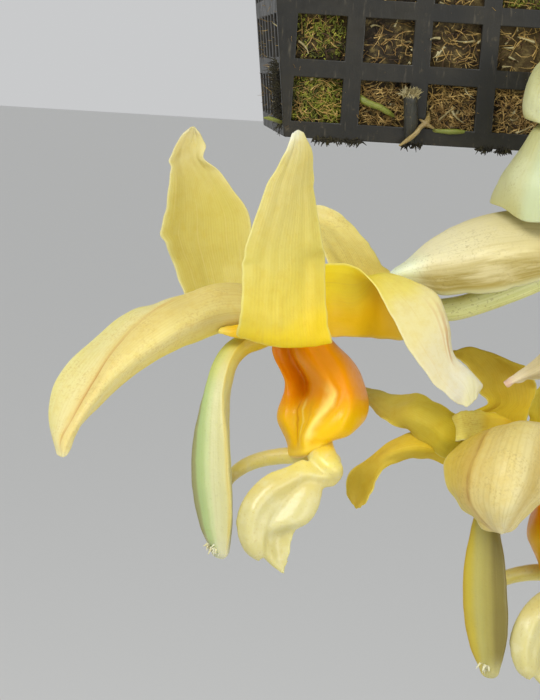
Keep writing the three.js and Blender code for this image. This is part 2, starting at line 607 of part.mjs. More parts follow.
const SECOND_TEPALS = {
  dorsalSepal: [
    [[-4, 1, 2], [-3.5, -3.5, 4], [-1, -4, 4], [2.5, -0.5, 2]],
    [[-16, -6.5, 3.5], [-12.5, -11.5, 6.5], [-5.5, -13, 7.5], [7.5, -6, 3.5]],
    [[-28, -12, 4], [-21.5, -19.5, 7.5], [-12.5, -24, 8.5], [7, -12, 2]],
    [[-34, -15, -1], [-28, -28.5, 2], [-18, -34, 2.5], [3.5, -17.5, -3]],
    [[-34, -18, -7], [-31, -31, -4.5], [-21, -38, -5], [-3.5, -22, -8]],
    [[-32, -22.5, -12], [-31, -31, -10.5], [-23.5, -38.5, -11], [-11.5, -26, -11.5]],
    [[-28.5, -26.5, -16.5], [-28, -31.5, -15], [-24, -35.5, -15], [-17.5, -30, -15.5]],
    [[-24.5, -29, -18], [-24, -30.5, -18.5], [-23, -30.5, -18.5], [-22, -30, -18]],
  ],
  leftPetal: [
    [[-5.5, 1, -1], [-5, 0, 0.5], [-3.5, 1, 2]],
    [[-20, -1.5, -3], [-19.5, -4.5, 2.5], [-16.5, -1.5, 6.5]],
    [[-31, -5, -0.5], [-31, -9.5, 5], [-27.5, -5, 11]],
    [[-35.5, -3, 3], [-35, -6.5, 8.5], [-30.5, -1, 13.5]],
    [[-40, 0, 6.5], [-39.5, -2, 11], [-34.5, 4, 16]],
    [[-44, 6, 9], [-42, 7.5, 12], [-38, 12, 15.5]],
    [[-46, 14.5, 13], [-45, 15.5, 15], [-42, 18, 16.5]],
    [[-47.5, 22, 16.5], [-47, 22, 17], [-46, 23, 18]],
  ],
  leftLateral: [
    [[-4, 3, -3], [-4.5, 1, -2], [-3, 2.5, -1]],
    [[-19, 1.5, -5], [-19.5, -1.5, -2], [-18, 1, 1]],
    [[-28, 0, -3], [-28.5, -3.5, 0], [-26, 1, 2.5]],
    [[-33.5, -0.5, -1], [-34.5, -4.5, 2], [-32, 1, 3.5]],
    [[-38.5, -0.5, -0.5], [-39.5, -4, 2.5], [-37.5, 2.5, 6]],
    [[-43.5, 0, -2], [-45, -1, 0.5], [-43.5, 3, 3]],
    [[-46.5, 0.5, -4.5], [-48.5, 3, -3.5], [-49.5, 3.5, -1]],
    [[-48, 2, -8.5], [-50.5, 5.5, -6.5], [-54, 4, -4.5]],
    [[-49.5, 3, -12], [-51.5, 5.5, -10.5], [-54.5, 5.5, -9.5]],
    [[-51, 4.5, -13.5], [-52, 5, -14], [-53, 5, -12.5]],
  ],
  backLateral: [
    [[-6, 5.5, 1.5], [-2, 6.5, 1.5], [1.5, 6, 2]],
    [[-18.5, 4, 4], [-11, 6.5, 4], [-3.5, 7, 5]],
    [[-23.5, 6.5, 9.5], [-13, 10, 9.5], [-3.5, 9, 9.5]],
    [[-14.5, 10.5, 13], [-8, 13, 13], [-1, 10.5, 12.5]],
    [[-15.5, 13, 16.5], [-8, 15, 17], [0, 11.5, 17]],
    [[-16.5, 13, 20], [-8.5, 16.5, 21], [-1, 11.5, 21]],
    [[-20, 12, 23.5], [-11.5, 15, 24.5], [-3, 13, 23.5]],
    [[-22, 13.5, 25.5], [-17, 14, 28], [-10.5, 17, 25.5]],
    [[-24, 15, 26.5], [-23.5, 14.5, 27], [-23, 14.5, 27.5]],
  ],
  rightPetal: [
    [[-2.5, 0.5, 2], [-1.5, -0.5, 1.5], [0, 0, 2]],
    [[-6.5, -1.5, 8], [-3, -4.5, 7], [2, -3.5, 8]],
    [[-6, -0.5, 12.5], [-1.5, -5, 12.5], [5, -4, 12]],
    [[-4, 1, 16], [0, -3, 16.5], [6, -1.5, 15.5]],
    [[-1.5, 2.5, 19.5], [1, 0, 20], [5.5, 1, 19]],
    [[2, 4.5, 23], [2.5, 3.5, 23.5], [4, 4, 22.5]],
  ],
};

// The lip's sac, open towards the column: far edge, far side, keel, near side, near edge
const LIP = {
  sac: [
    [[-4, 5, -1.5], [1.5, 9, 0], [8, 6, -1.5], [5, -3, -1], [0, -5, -1.5]],
    [[-5, 7, -7], [3.5, 14, -7], [14, 8, -7], [10, -5, -7], [1, -7, -7]],
    [[-3, 7, -12], [5.5, 15, -12], [16.5, 9, -12], [12, -6, -11.5], [3.5, -8, -11.5]],
    [[-3, 7, -16.5], [6, 15, -17], [17.5, 9, -17], [13, -7, -17], [5, -9, -16]],
    [[-4, 7, -20.5], [5.5, 14, -22], [17.5, 8, -22], [12, -8, -21.5], [2.5, -10, -19.5]],
    [[-4.5, 5, -25.5], [3.5, 10, -26.5], [15.5, 5, -26.5], [9.5, -8, -26], [1, -10, -24.5]],
    [[-4, 3, -29], [1.5, 5, -30], [11, 2, -29], [7, -6, -29.5], [0.5, -8, -29]],
    [[-1.5, 1, -32], [0.5, 2, -32.5], [4, 0, -32], [3.5, -4, -32.5], [0.5, -5, -33]],
  ],
  neck: [[4, -3, -27, 4.5, 4], [5.5, -4, -30.5, 4.4, 4], [7, -5, -33, 4, 3.6], [8.5, -6, -35, 3.4, 3]],
  nearHorn: [
    [9, -6, -34.5, 2.6, 2.4], [5, -8, -34.5, 3.4, 2.8], [0.5, -10, -35.5, 4.2, 2.8], [-4, -12, -38, 4.6, 2.8],
    [-9, -14, -42, 4.8, 2.8], [-12.3, -15, -47, 4.4, 2.6], [-12.8, -15, -52, 3.8, 2.2],
    [-10.5, -14, -57.5, 1, 0.8],
  ],
  farHorn: [
    [8, 0, -33, 2.4], [3, 3, -32, 2.3], [-1, 5, -31.5, 2], [-7.5, 5, -32, 1.8],
    [-13, 4, -33.5, 1.7], [-17, 2, -36, 1.5], [-19, 0, -39.5, 0.7],
  ],
  tongue: [
    [7, -6, -36, 3, 2.6], [3, -6, -40.5, 5.2, 2.8], [-1.5, -7, -45, 6, 2.8],
    [-5, -8, -50, 4.8, 2.4], [-5.5, -9, -55.5, 3.4, 2], [-4, -8, -61.5, 0.8, 0.7],
  ],
};

// The column's stations: half width of its body, half depth, and reach of its wings
const COLUMN = [
  [-3, -1.5, 2, 2.4, 2.4, 2.8], [-10, -4, -1, 2.6, 2.6, 2.9], [-15.5, -6, -3.5, 2.6, 2.6, 3],
  [-19, -9, -7.5, 2.7, 2.7, 3.2], [-21, -11, -14, 2.9, 3, 4], [-21.5, -12, -20.5, 3, 3.4, 5],
  [-21.5, -12.5, -28, 3.2, 3.7, 5.8], [-21.3, -12.5, -36.5, 3.3, 3.9, 6.2], [-20.8, -12, -43, 3, 3.6, 5.2],
  [-20.4, -11.5, -49, 2.6, 3.1, 3.9], [-20, -11, -55, 1.6, 2, 2.4],
];
function columnSection([body, depth, wing]) {
  return [
    [0, depth], [-body * 0.8, depth * 0.7], [-body * 1.15, 0], [-wing, -depth * 0.62],
    [-wing * 0.96, -depth * 0.9], [-body * 0.7, -depth * 0.5], [0, -depth * 0.62],
    [body * 0.7, -depth * 0.5], [wing * 0.96, -depth * 0.9], [wing, -depth * 0.62],
    [body * 1.15, 0], [body * 0.8, depth * 0.7],
  ];
}

// Flowers: place and turn of each on the spike, and the way of its ovary to the stalk
const FLOWERS = [
  {
    place: [0, 0, 0],
    turn: 0,
    tepals: FIRST_TEPALS,
    ovary: [
      [9, 8, 3.5], [16, 12.5, 4], [25, 12.5, 5], [37, 9.5, 6],
      [45, 8, 7.5], [60, 8, 13], [68, 9, 16.5], [73.5, 11, 19],
    ],
  },
  {
    place: [66.5, 12, -31.5],
    turn: 13,
    tepals: SECOND_TEPALS,
    ovary: [[10, 4, 6], [19, 8, 14], [25, 10, 26], [27, 10, 35]],
  },
  {
    place: [150, 72, -38],
    turn: 175,
    tepals: FIRST_TEPALS,
    ovary: [[9, 8, 3.5], [16, 12.5, 4], [26, 13, 7], [37, 18.5, 15], [44, 26, 23], [46.5, 30, 27]],
  },
];

function flowerMatrix({ place, turn }) {
  const own = new THREE.Matrix4().makeRotationZ(THREE.MathUtils.degToRad(turn)).setPosition(...place);
  return spikeMatrix.clone().multiply(own);
}

function makeOvary(stations, offset) {
  const path = [HEART, ...stations].map((s) => [...s, OVARY_RADIUS]);
  const size = { steps: path.length + 3, section: roundSection(6), side: [0, 0, 1], offset };
  const heart = new THREE.SphereGeometry(HEART_RADIUS + offset, 8, 6).translate(...HEART);
  return toSolid(tube(path, size)).add(toSolid(heart));
}

function makeColumn(offset) {
  const angle = THREE.MathUtils.degToRad(COLUMN_FACING);
  const side = [-Math.sin(angle), Math.cos(angle), 0];
  return tube(COLUMN, { steps: 10, section: columnSection, side, offset });
}

// The lip's front part: a neck with two horns and a tongue
function makeForelip(offset) {
  const flat = roundSection(7);
  return Manifold.union([
    toSolid(tube(LIP.neck, { steps: 3, section: flat, side: [1, 0, 0], offset })),
    toSolid(tube(LIP.nearHorn, { steps: 8, section: flat, side: [0.7, 0, 0.7], offset })),
    toSolid(tube(LIP.farHorn, { steps: 6, section: roundSection(5), side: [0, 0, 1], offset })),
    toSolid(tube(LIP.tongue, { steps: 6, section: flat, side: [1, 0, 0.3], offset })),
  ]);
}

const TEPAL_NAMES = {
  dorsalSepal: ["dorsal_sepal", "sepal"],
  nearPetal: ["petal_near", "petal"],
  farPetal: ["petal_far", "petal"],
  nearLateral: ["lateral_sepal_near", "sepal"],
  farLateral: ["lateral_sepal_far", "sepal"],
  leftPetal: ["petal_near", "petal"],
  leftLateral: ["lateral_sepal_near", "sepal"],
  backLateral: ["lateral_sepal_far", "sepal"],
  rightPetal: ["petal_far", "petal"],
};

function placeFlower(flower, number) {
  const turn = new THREE.Matrix4().makeRotationZ(THREE.MathUtils.degToRad(flower.turn));
  const matrix = spikeMatrix.clone().multiply(turn.setPosition(...flower.place));
  const sac = { along: 8, across: 8, thickness: SAC_THICKNESS };
  const tepal = { along: 10, across: 5, thickness: TEPAL_THICKNESS };
  const add = (piece, look, make) => place(`flower_${number}_${piece}`, look, make, matrix);
  add("ovary", "ovary", (offset) => makeOvary(flower.ovary, offset));
  add("column", "column", makeColumn);
  add("lip_sac", "sac", (offset) => sheet(LIP.sac, { ...sac, offset }));
  add("lip_forepart", "forelip", makeForelip);
  for (const [key, net] of Object.entries(flower.tepals)) {
    add(...TEPAL_NAMES[key], (offset) => sheet(net, { ...tepal, offset }));
  }
}

place("basket", "basket", makeBasket);
place("hanger_hook", "wire", makeHook);
CORNERS.forEach(([sx, sy], index) => {
  place(`hanger_wire_${index + 1}`, "wire", (offset) => makeWire(sx, sy, offset));
});
place("spike_stalk", "stalk", (offset) => tube(
  STALK,
  { steps: 22, section: roundSection(8), side: [1, 0, 0], offset },
), spikeMatrix);
FLOWERS.forEach((flower, index) => placeFlower(flower, index + 1));
BRACTS.forEach((net, index) => place(`flower_${index + 1}_bract`, "bract", (offset) => sheet(
  net,
  { along: 7, across: 5, thickness: BRACT_THICKNESS, offset },
), spikeMatrix));
SHEATHS.forEach((net, index) => place(`spike_sheath_${index + 1}`, "bract", (offset) => sheet(
  net,
  { along: 5, across: 9, thickness: BRACT_THICKNESS, offset },
), spikeMatrix));
for (let number = 0; number < LEAF_COUNT; number += 1) {
  const spot = bulbPlace(number);
  place(`pseudobulb_${number + 1}`, "bulb", (offset) => makeBulb(spot, offset));
  place(`leaf_${number + 1}`, "leaf", (offset) => makeLeaf(spot, offset));
}
place("growing_medium", "medium", makeMedium);

export default part;
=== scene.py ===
"""Stanhopea shuttleworthii in a hanging lattice basket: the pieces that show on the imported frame.

Nets, loops and stations are in millimetres in the frame that carries them: the spike's own frame for
the stalk, bracts and sheaths, and each flower's own frame for its parts. +x is right, +y away, +z up.
Other lengths are in millimetres too, and turns are in degrees.
"""
import math
import random

import bmesh
import bpy
import numpy as np
from mathutils import Matrix, Vector, noise


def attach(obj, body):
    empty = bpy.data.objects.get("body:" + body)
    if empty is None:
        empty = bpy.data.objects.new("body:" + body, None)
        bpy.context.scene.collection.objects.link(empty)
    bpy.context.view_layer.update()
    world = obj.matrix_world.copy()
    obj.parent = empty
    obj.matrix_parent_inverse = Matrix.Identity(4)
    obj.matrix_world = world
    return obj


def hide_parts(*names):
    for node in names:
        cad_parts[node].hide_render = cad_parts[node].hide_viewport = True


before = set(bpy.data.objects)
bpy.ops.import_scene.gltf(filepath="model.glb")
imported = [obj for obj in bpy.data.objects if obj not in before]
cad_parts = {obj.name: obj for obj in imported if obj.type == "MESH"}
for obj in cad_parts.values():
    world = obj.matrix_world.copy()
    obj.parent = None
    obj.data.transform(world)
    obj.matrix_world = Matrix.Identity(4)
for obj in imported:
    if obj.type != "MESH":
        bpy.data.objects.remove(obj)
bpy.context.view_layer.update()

MM = 0.001

# Basket and hanger
BASKET_FLOOR = -396
BASKET_RIM = -300
BASKET_HEIGHT = 96
BOTTOM_WIDTH = 126.5
TOP_WIDTH = 150
WALL = 2.2
EDGE_ROUNDING = 0.4
COLUMNS = 7
COLUMN_PITCH = 18.3
ROWS = 5
ROW_PITCH = 16.9
LOWEST_ROW = 10.5
OPENING_HALF_WIDTH = 6.6
OPENING_HALF_HEIGHT = 5.9
# How far from a wall's middle its fibres head back toward it at full strength
CORNER_LEAN = 70
MEDIUM_BELOW_RIM = 7
MEDIUM_DOME = 9
TOP_REACH = 68
EYE_OFFSET = 80
HANGING_WIRE_RADIUS = 0.95
HOOK_WIRE_RADIUS = 1.75
TWIST_TURNS = 3.5
TWIST_RISE = 33.0
TWIST_REACH = 1.55
TWIST_STRAND_RADIUS = 0.85
HOOK_RADIUS = 9
SHAFT_TOP = -18
SHAFT_BOTTOM = -52

# Plant on top
BULB_HEIGHT = 46
BULB_RADIUS = 13
BULB_RING = 24
BULB_SUNK = 6
LEAF_TURN = 4
# The leaf's stalk and its blade are shares of its length
LEAF_STALK = 0.18
LEAF_BLADE = 0.82
LEAF_REACH = 175
LEAF_STALK_RISE = 62
LEAF_RISE = 105
LEAF_DROOP = 95
LEAF_HALF_WIDTH = 40
LEAF_PLEATS = 6
LEAF_PLEAT = 2.4
LEAF_CURL = 7

# Spike
SPIKE_PLACE = (-57.9, -101, -446.1)
SPIKE_TURN = -3
SPIKE_LEAN = -6
SPIKE_SWING = -3.5
COLUMN_FACING = 56
HEART = (2, 0.6, 3.8)
HEART_RADIUS = 4.6
OVARY_RADIUS = 3.15
OVARY_LIFT = 0.5
COLUMN_TIP = (-21.5, -12.5, -53.2)
# The second flower stands in shade: its tepals and column take darker, more olive copies of the first
# flower's finishes, which are painted shade.
SHADED_FLOWER = 2

# How the meshes are made
TOUCHING = 2e-6
# The rows of a rounded end that carry no relief: the cap's five and the ring that it closes
CAP_ROWS = 6
VOXEL = 0.5
SMOOTHING_PASSES = 9
# The far horn loses a little to the remesh and the smoothing
FAR_HORN_GROWTH = 1.22
SOFTENING = 1

# Looks shared by all flesh that glows more than a little
FLESH_GLOW = 0.2
FLESH_TINT = "f9fff9"
FLESH_REACH = (1.0, 0.93, 0.45)
COAT_ROUGHNESS = 0.25

# The pseudobulb's outline: shares of its radius and its height, from foot to top
BULB_PROFILE = [
    [0, 0], [0.62, 0.02], [0.92, 0.18], [1, 0.38], [0.84, 0.64], [0.5, 0.86], [0.24, 0.96], [0, 1],
]

# The stalk's places with its radius at each, from the basket down
STALK = [
    [80, 48, 80, 2.9], [80, 38, 79, 2.9], [80, 28, 76.5, 2.8], [76.5, 19, 70.5, 2.8], [71, 11, 61, 2.7],
    [68, 8, 49, 2.7], [68.5, 7, 38, 2.6], [71, 8, 28, 2.6], [77, 13, 19.5, 2.5], [85, 22, 13, 2.4],
    [92, 29, 6, 2.3], [98, 35, -3, 2.1], [101, 39, -12, 1.7], [102, 41, -18, 0.9],
]

# Nets of the papery sheaths, the lower one first, and of the three bracts
SHEATHS = [
    [
        [
            [69, 13.5, 57], [66, 12, 57], [65, 8.5, 57], [67, 5, 57],
            [70.5, 5, 57], [73.5, 8, 57], [72.5, 12.5, 57],
        ],
        [
            [67, 18, 54.5], [62.5, 13, 54], [61.5, 5, 53], [65, 0, 52],
            [70, 0, 52], [75.5, 5.5, 53.5], [75.5, 16, 54.5],
        ],
        [
            [63, 22, 50], [59, 12, 49], [58.5, 1, 48], [63, -5, 46.5],
            [70, -5, 46.5], [76.5, 4, 49], [77.5, 18, 50],
        ],
        [
            [59, 22, 43], [54, 11, 42.5], [54.5, -1, 41], [60, -8, 38.5],
            [70, -8, 38.5], [78.5, 3, 41.5], [79.5, 18, 44],
        ],
        [
            [54.5, 19, 37], [50, 9, 35], [52.5, -1, 33], [58.5, -7, 29],
            [69, -8, 30], [79, 3, 34.5], [80.5, 17, 40],
        ],
    ],
    [
        [
            [80.5, 31, 80.5], [76.5, 30, 80], [75.5, 26, 77], [78, 21, 73.5],
            [82, 22, 74], [84, 26, 77], [83, 30, 80],
        ],
        [
            [75.5, 28, 78], [70, 24, 77], [68.5, 16, 73], [70.5, 9, 68.5],
            [76, 9, 68], [80.5, 15, 72], [81, 24, 77],
        ],
        [
            [70, 23, 73.5], [63.5, 17, 71.5], [61.5, 7, 67], [65.5, 1, 62],
            [73, 1, 61.5], [79, 9, 66.5], [80, 19, 72.5],
        ],
        [
            [67, 22, 67.5], [60.5, 14, 64.5], [59.5, 5, 59.5], [64.5, -1, 55.5],
            [72, -1, 56], [78.5, 7, 61.5], [79, 18, 67],
        ],
        [
            [65, 21, 62], [60, 13, 58.5], [59.5, 5, 56.5], [64.5, -1.5, 54.5],
            [71.5, -1.5, 55.5], [77.5, 7, 59], [78, 17, 63],
        ],
    ],
]

BRACTS = [
    [
        [[76.5, 15.5, 20.5], [76, 9, 24.5], [76.5, 5.5, 20.5], [76, 5, 16]],
        [[72, 17, 22.5], [71, 11, 28.5], [70, 0, 22.5], [70.5, 1, 15.5]],
        [[63, 19, 24], [61.5, 11, 32.5], [60.5, -5, 23], [62, -2, 14]],
        [[52, 18, 23.5], [51.5, 10, 32], [51, -6, 22], [53.5, -3, 11.5]],
        [[41.5, 15, 21], [41, 9, 28.5], [42, -5, 20], [43, -2, 10.5]],
        [[33, 10, 19], [33, 6, 24], [34, -4, 18.5], [35.5, -1, 10.5]],
        [[27, 4, 17.5], [27, 2, 18.5], [28, -3, 17], [29, -1, 13]],
        [[23.5, 0.5, 15.5], [23.5, -0.5, 16], [23.5, -1, 15], [24, -1.5, 14.5]],
    ],
    [
        [[92.5, 32, 9], [90, 28, 10], [89, 24.5, 7.5], [90, 25.5, 3.5]],
        [[85, 31, 5.5], [82.5, 23, 10], [83, 14, 4.5], [83.5, 17, -1]],
        [[75, 22, -0.5], [72.5, 13, 3.5], [74, 2, -2.5], [75, 5, -8]],
        [[66, 9, -6], [64.5, 4, -4], [64.5, -5, -7], [66.5, -2, -11]],
        [[58, -3, -10], [57.5, -5, -9], [57.5, -8, -10.5], [58, -7, -12]],
        [[52.5, -9.5, -12.5], [52, -10, -12], [52.5, -10.5, -13], [53, -10, -13.5]],
    ],
    [
        [[100, 39, -5], [102, 36, -3], [104, 38, -6], [103, 41, -10]],
        [[103, 51, -3], [107, 45, 4], [113, 42, -6], [112, 48, -15]],
        [[113, 64, -10], [119, 57, -3], [127, 54, -14], [124, 59, -23]],
        [[127, 72, -18], [131, 67, -13], [138, 63, -22], [135, 67, -29]],
        [[142, 77, -27], [143, 76, -26], [144, 74, -28], [143, 75, -30]],
    ],
]

# Nets of the tepals, each from its base to its tip. The third flower has the first one's.
FIRST_TEPALS = {
    "dorsalSepal": [
        [[-4, 4, 3.5], [-3, 0, 6], [-2.5, -4, 2.5], [-4, -2, 0.5]],
        [[-11.5, 4, 10], [-11.5, -2, 11.5], [-11, -9, 6], [-11.5, -6, 1.5]],
        [[-20.5, 0, 10], [-20.5, -5, 13], [-19.5, -13, 6.5], [-20, -10, 0.5]],
        [[-29.5, -3, 8.5], [-29.5, -8, 10], [-27, -17, 4], [-28, -13, -2.5]],
        [[-36, -6, 8.5], [-34.5, -13, 7.5], [-33.5, -21, 0.5], [-35.5, -17, -6]],
        [[-42.5, -9, 6], [-41, -17, 2.5], [-40.5, -24, -4.5], [-43, -20, -11]],
        [[-50.5, -13, 1], [-47, -22, -4], [-47, -27, -10.5], [-50, -23, -17]],
        [[-57.5, -19, -5.5], [-52, -27, -12], [-52, -30, -17], [-55, -26, -22]],
        [[-62.5, -24, -14], [-56.5, -31, -20], [-55.5, -31.5, -23], [-57, -28, -26.5]],
        [[-63, -28, -22.5], [-59.5, -32, -26], [-58, -32, -27.5], [-57.5, -30, -28.5]],
        [[-60.5, -31, -30], [-59.5, -32, -30.5], [-59, -32, -30.5], [-58.5, -31.5, -30]],
    ],
    "nearPetal": [
        [[-4.5, -3, 3.5], [-2.5, -4, 4], [-1, -3, 3.5]],
        [[-11, -15, 0], [-3, -13, -0.5], [4.5, -11, 0.5]],
        [[-16, -29, -0.5], [-4, -24, -3], [8, -19, -2]],
        [[-15.5, -34, 3], [-4.5, -28, 2], [7, -21, 2.5]],
        [[-15, -36, 8], [-4.5, -29, 8.5], [6.5, -21, 8]],
        [[-14.5, -37, 16], [-4, -30, 16.5], [6, -21, 17.5]],
        [[-14, -38, 21], [-4, -31, 22], [5.5, -24, 22]],
        [[-11.5, -38, 28.5], [-3, -32, 29], [4.5, -26, 28.5]],
        [[-8, -38, 37.5], [-2, -34, 37.5], [3, -29, 37.5]],
        [[-4, -38, 45.5], [-0.5, -35, 45.5], [2.5, -32, 45]],
        [[-2, -37, 49.5], [-1, -35, 50.5], [0.5, -34, 50]],
    ],
    "farPetal": [
        [[-4.5, 5, 4.5], [-3.5, 6, 3.5], [-2.5, 7, 4]],
        [[-16.5, 12, 3.5], [-12.5, 12, 2], [-8.5, 13, 3]],
        [[-27, 15, 4.5], [-19, 17, 1.5], [-11, 19, 3.5]],
        [[-30.5, 17, 10.5], [-21, 21, 9.5], [-11.5, 22, 10]],
        [[-33, 18, 18], [-23, 23, 18], [-12, 23, 18]],
        [[-36.5, 17, 25.5], [-24.5, 23, 25.5], [-12.5, 23, 25.5]],
        [[-36, 18, 33], [-25, 23, 33], [-13.5, 23, 33]],
        [[-34.5, 18, 41], [-27, 22.5, 41.5], [-19, 22, 41]],
        [[-34.5, 20, 47.5], [-29.5, 22.5, 48], [-25, 21, 48]],
        [[-31.5, 21, 53.5], [-28.5, 22, 53.5], [-26, 21.5, 53]],
        [[-29, 21, 55.5], [-28.5, 21, 56], [-27.5, 21, 55.5]],
    ],
    "nearLateral": [
        [[-1, -3, 15.5], [-0.5, -1, 8], [0, -1, 1]],
        [[6, -4.5, 18.3], [7.5, -1.5, 9.5], [7.5, -2, -0.5]],
        [[13.5, -6, 18], [14.5, 0.5, 9], [14.5, 0, -0.5]],
        [[18.5, -10, 13], [21, 0, 15], [20.5, 5, -1]],
        [[22.5, -14, 6], [29, -4, 13.5], [26, 6, -1.5]],
        [[26, -17, -1.5], [35, -8, 10], [30, 4, -1.5]],
        [[31, -18, -9], [37.5, -11, 3], [35.5, 0, -4]],
        [[36, -17, -15], [38.5, -13, -5.5], [40, -5, -8.5]],
        [[40, -15, -17.5], [42.5, -13, -10.5], [46, -8, -12.5]],
        [[42.5, -13, -18.5], [44, -12, -17.5], [45.5, -10, -16]],
    ],
    "farLateral": [
        [[5, 5, 9], [7, 6, 9.5], [9, 7, 8.5]],
        [[10, 9, 14.5], [16.5, 13, 13.5], [23.5, 16, 15.5]],
        [[7.5, 12, 19.5], [14.5, 18, 19.5], [22, 21, 19]],
        [[5, 18, 24.5], [11.5, 24, 25], [18.5, 25, 25]],
        [[2, 23, 28.5], [8, 28, 29.5], [13.5, 29, 31]],
        [[-2, 27, 31], [3, 30, 32.5], [7.5, 30, 35]],
        [[-5, 30, 33], [-3.5, 31, 34.5], [-2.5, 30, 36]],
    ],
}

SECOND_TEPALS = {
    "dorsalSepal": [
        [[-4, 1, 2], [-3.5, -3.5, 4], [-1, -4, 4], [2.5, -0.5, 2]],
        [[-16, -6.5, 3.5], [-12.5, -11.5, 6.5], [-5.5, -13, 7.5], [7.5, -6, 3.5]],
        [[-28, -12, 4], [-21.5, -19.5, 7.5], [-12.5, -24, 8.5], [7, -12, 2]],
        [[-34, -15, -1], [-28, -28.5, 2], [-18, -34, 2.5], [3.5, -17.5, -3]],
        [[-34, -18, -7], [-31, -31, -4.5], [-21, -38, -5], [-3.5, -22, -8]],
        [[-32, -22.5, -12], [-31, -31, -10.5], [-23.5, -38.5, -11], [-11.5, -26, -11.5]],
        [[-28.5, -26.5, -16.5], [-28, -31.5, -15], [-24, -35.5, -15], [-17.5, -30, -15.5]],
        [[-24.5, -29, -18], [-24, -30.5, -18.5], [-23, -30.5, -18.5], [-22, -30, -18]],
    ],
    "leftPetal": [
        [[-5.5, 1, -1], [-5, 0, 0.5], [-3.5, 1, 2]],
        [[-20, -1.5, -3], [-19.5, -4.5, 2.5], [-16.5, -1.5, 6.5]],
        [[-31, -5, -0.5], [-31, -9.5, 5], [-27.5, -5, 11]],
        [[-35.5, -3, 3], [-35, -6.5, 8.5], [-30.5, -1, 13.5]],
        [[-40, 0, 6.5], [-39.5, -2, 11], [-34.5, 4, 16]],
        [[-44, 6, 9], [-42, 7.5, 12], [-38, 12, 15.5]],
        [[-46, 14.5, 13], [-45, 15.5, 15], [-42, 18, 16.5]],
        [[-47.5, 22, 16.5], [-47, 22, 17], [-46, 23, 18]],
    ],
    "leftLateral": [
        [[-4, 3, -3], [-4.5, 1, -2], [-3, 2.5, -1]],
        [[-19, 1.5, -5], [-19.5, -1.5, -2], [-18, 1, 1]],
        [[-28, 0, -3], [-28.5, -3.5, 0], [-26, 1, 2.5]],
        [[-33.5, -0.5, -1], [-34.5, -4.5, 2], [-32, 1, 3.5]],
        [[-38.5, -0.5, -0.5], [-39.5, -4, 2.5], [-37.5, 2.5, 6]],
        [[-43.5, 0, -2], [-45, -1, 0.5], [-43.5, 3, 3]],
        [[-46.5, 0.5, -4.5], [-48.5, 3, -3.5], [-49.5, 3.5, -1]],
        [[-48, 2, -8.5], [-50.5, 5.5, -6.5], [-54, 4, -4.5]],
        [[-49.5, 3, -12], [-51.5, 5.5, -10.5], [-54.5, 5.5, -9.5]],
        [[-51, 4.5, -13.5], [-52, 5, -14], [-53, 5, -12.5]],
    ],
    "backLateral": [
        [[-6, 5.5, 1.5], [-2, 6.5, 1.5], [1.5, 6, 2]],
        [[-18.5, 4, 4], [-11, 6.5, 4], [-3.5, 7, 5]],
        [[-23.5, 6.5, 9.5], [-13, 10, 9.5], [-3.5, 9, 9.5]],
        [[-14.5, 10.5, 13], [-8, 13, 13], [-1, 10.5, 12.5]],
        [[-15.5, 13, 16.5], [-8, 15, 17], [0, 11.5, 17]],
        [[-16.5, 13, 20], [-8.5, 16.5, 21], [-1, 11.5, 21]],
        [[-20, 12, 23.5], [-11.5, 15, 24.5], [-3, 13, 23.5]],
        [[-22, 13.5, 25.5], [-17, 14, 28], [-10.5, 17, 25.5]],
        [[-24, 15, 26.5], [-23.5, 14.5, 27], [-23, 14.5, 27.5]],
    ],
    "rightPetal": [
        [[-2.5, 0.5, 2], [-1.5, -0.5, 1.5], [0, 0, 2]],
        [[-6.5, -1.5, 8], [-3, -4.5, 7], [2, -3.5, 8]],
        [[-6, -0.5, 12.5], [-1.5, -5, 12.5], [5, -4, 12]],
        [[-4, 1, 16], [0, -3, 16.5], [6, -1.5, 15.5]],
        [[-1.5, 2.5, 19.5], [1, 0, 20], [5.5, 1, 19]],
        [[2, 4.5, 23], [2.5, 3.5, 23.5], [4, 4, 22.5]],
    ],
}

# The far horn's places with its radius at each
FAR_HORN = [
    [8, 0, -33, 2.4], [3, 3, -32, 2.3], [-1, 5, -31.5, 2], [-7.5, 5, -32, 1.8], [-13, 4, -33.5, 1.7],
    [-17, 2, -36, 1.5], [-19, 0, -39.5, 0.7],
]

# The column's places with its half width, its half depth and its wings' half width at each
COLUMN = [
    [-3, -1.5, 2, 2.4, 2.4, 2.6], [-10, -4, -1, 2.4, 2.5, 2.6], [-15.5, -6, -3.5, 2.4, 2.5, 2.6],
    [-18.8, -9, -7.5, 2.5, 2.6, 2.8], [-20.6, -11, -14, 2.6, 3, 3.1], [-21.3, -12, -20.5, 2.8, 3.4, 4.1],
    [-21.5, -12.5, -28, 3.1, 3.7, 5.4], [-21.3, -12.5, -36.5, 3.3, 3.9, 5.8],
    [-20.8, -12, -43, 3.1, 3.6, 5.6], [-20.4, -11.5, -49, 2.7, 3.1, 4.6], [-20, -11, -55, 1.7, 2, 2.6],
]

# Each flower's place and turn in the spike's frame, its tepals and the places along its ovary
FLOWERS = [
    {
        "place": [0, 0, 0],
        "turn": 0,
        "tepals": FIRST_TEPALS,
        "ovary": [
            [9, 8, 3.5], [16, 12.5, 4], [25, 12.5, 5], [37, 9.5, 6],
            [45, 8, 7.5], [60, 8, 13], [68, 9, 16.5], [73.5, 11, 19],
        ],
    },
    {
        "place": [66.5, 12, -31.5],
        "turn": 13,
        "tepals": SECOND_TEPALS,
        "ovary": [[10, 4, 6], [19, 8, 14], [25, 10, 26], [27, 10, 35]],
    },
    {
        "place": [150, 72, -38],
        "turn": 175,
        "tepals": FIRST_TEPALS,
        "ovary": [[9, 8, 3.5], [16, 12.5, 4], [26, 13, 7], [37, 18.5, 15], [44, 26, 23], [46.5, 30, 27]],
    },
]

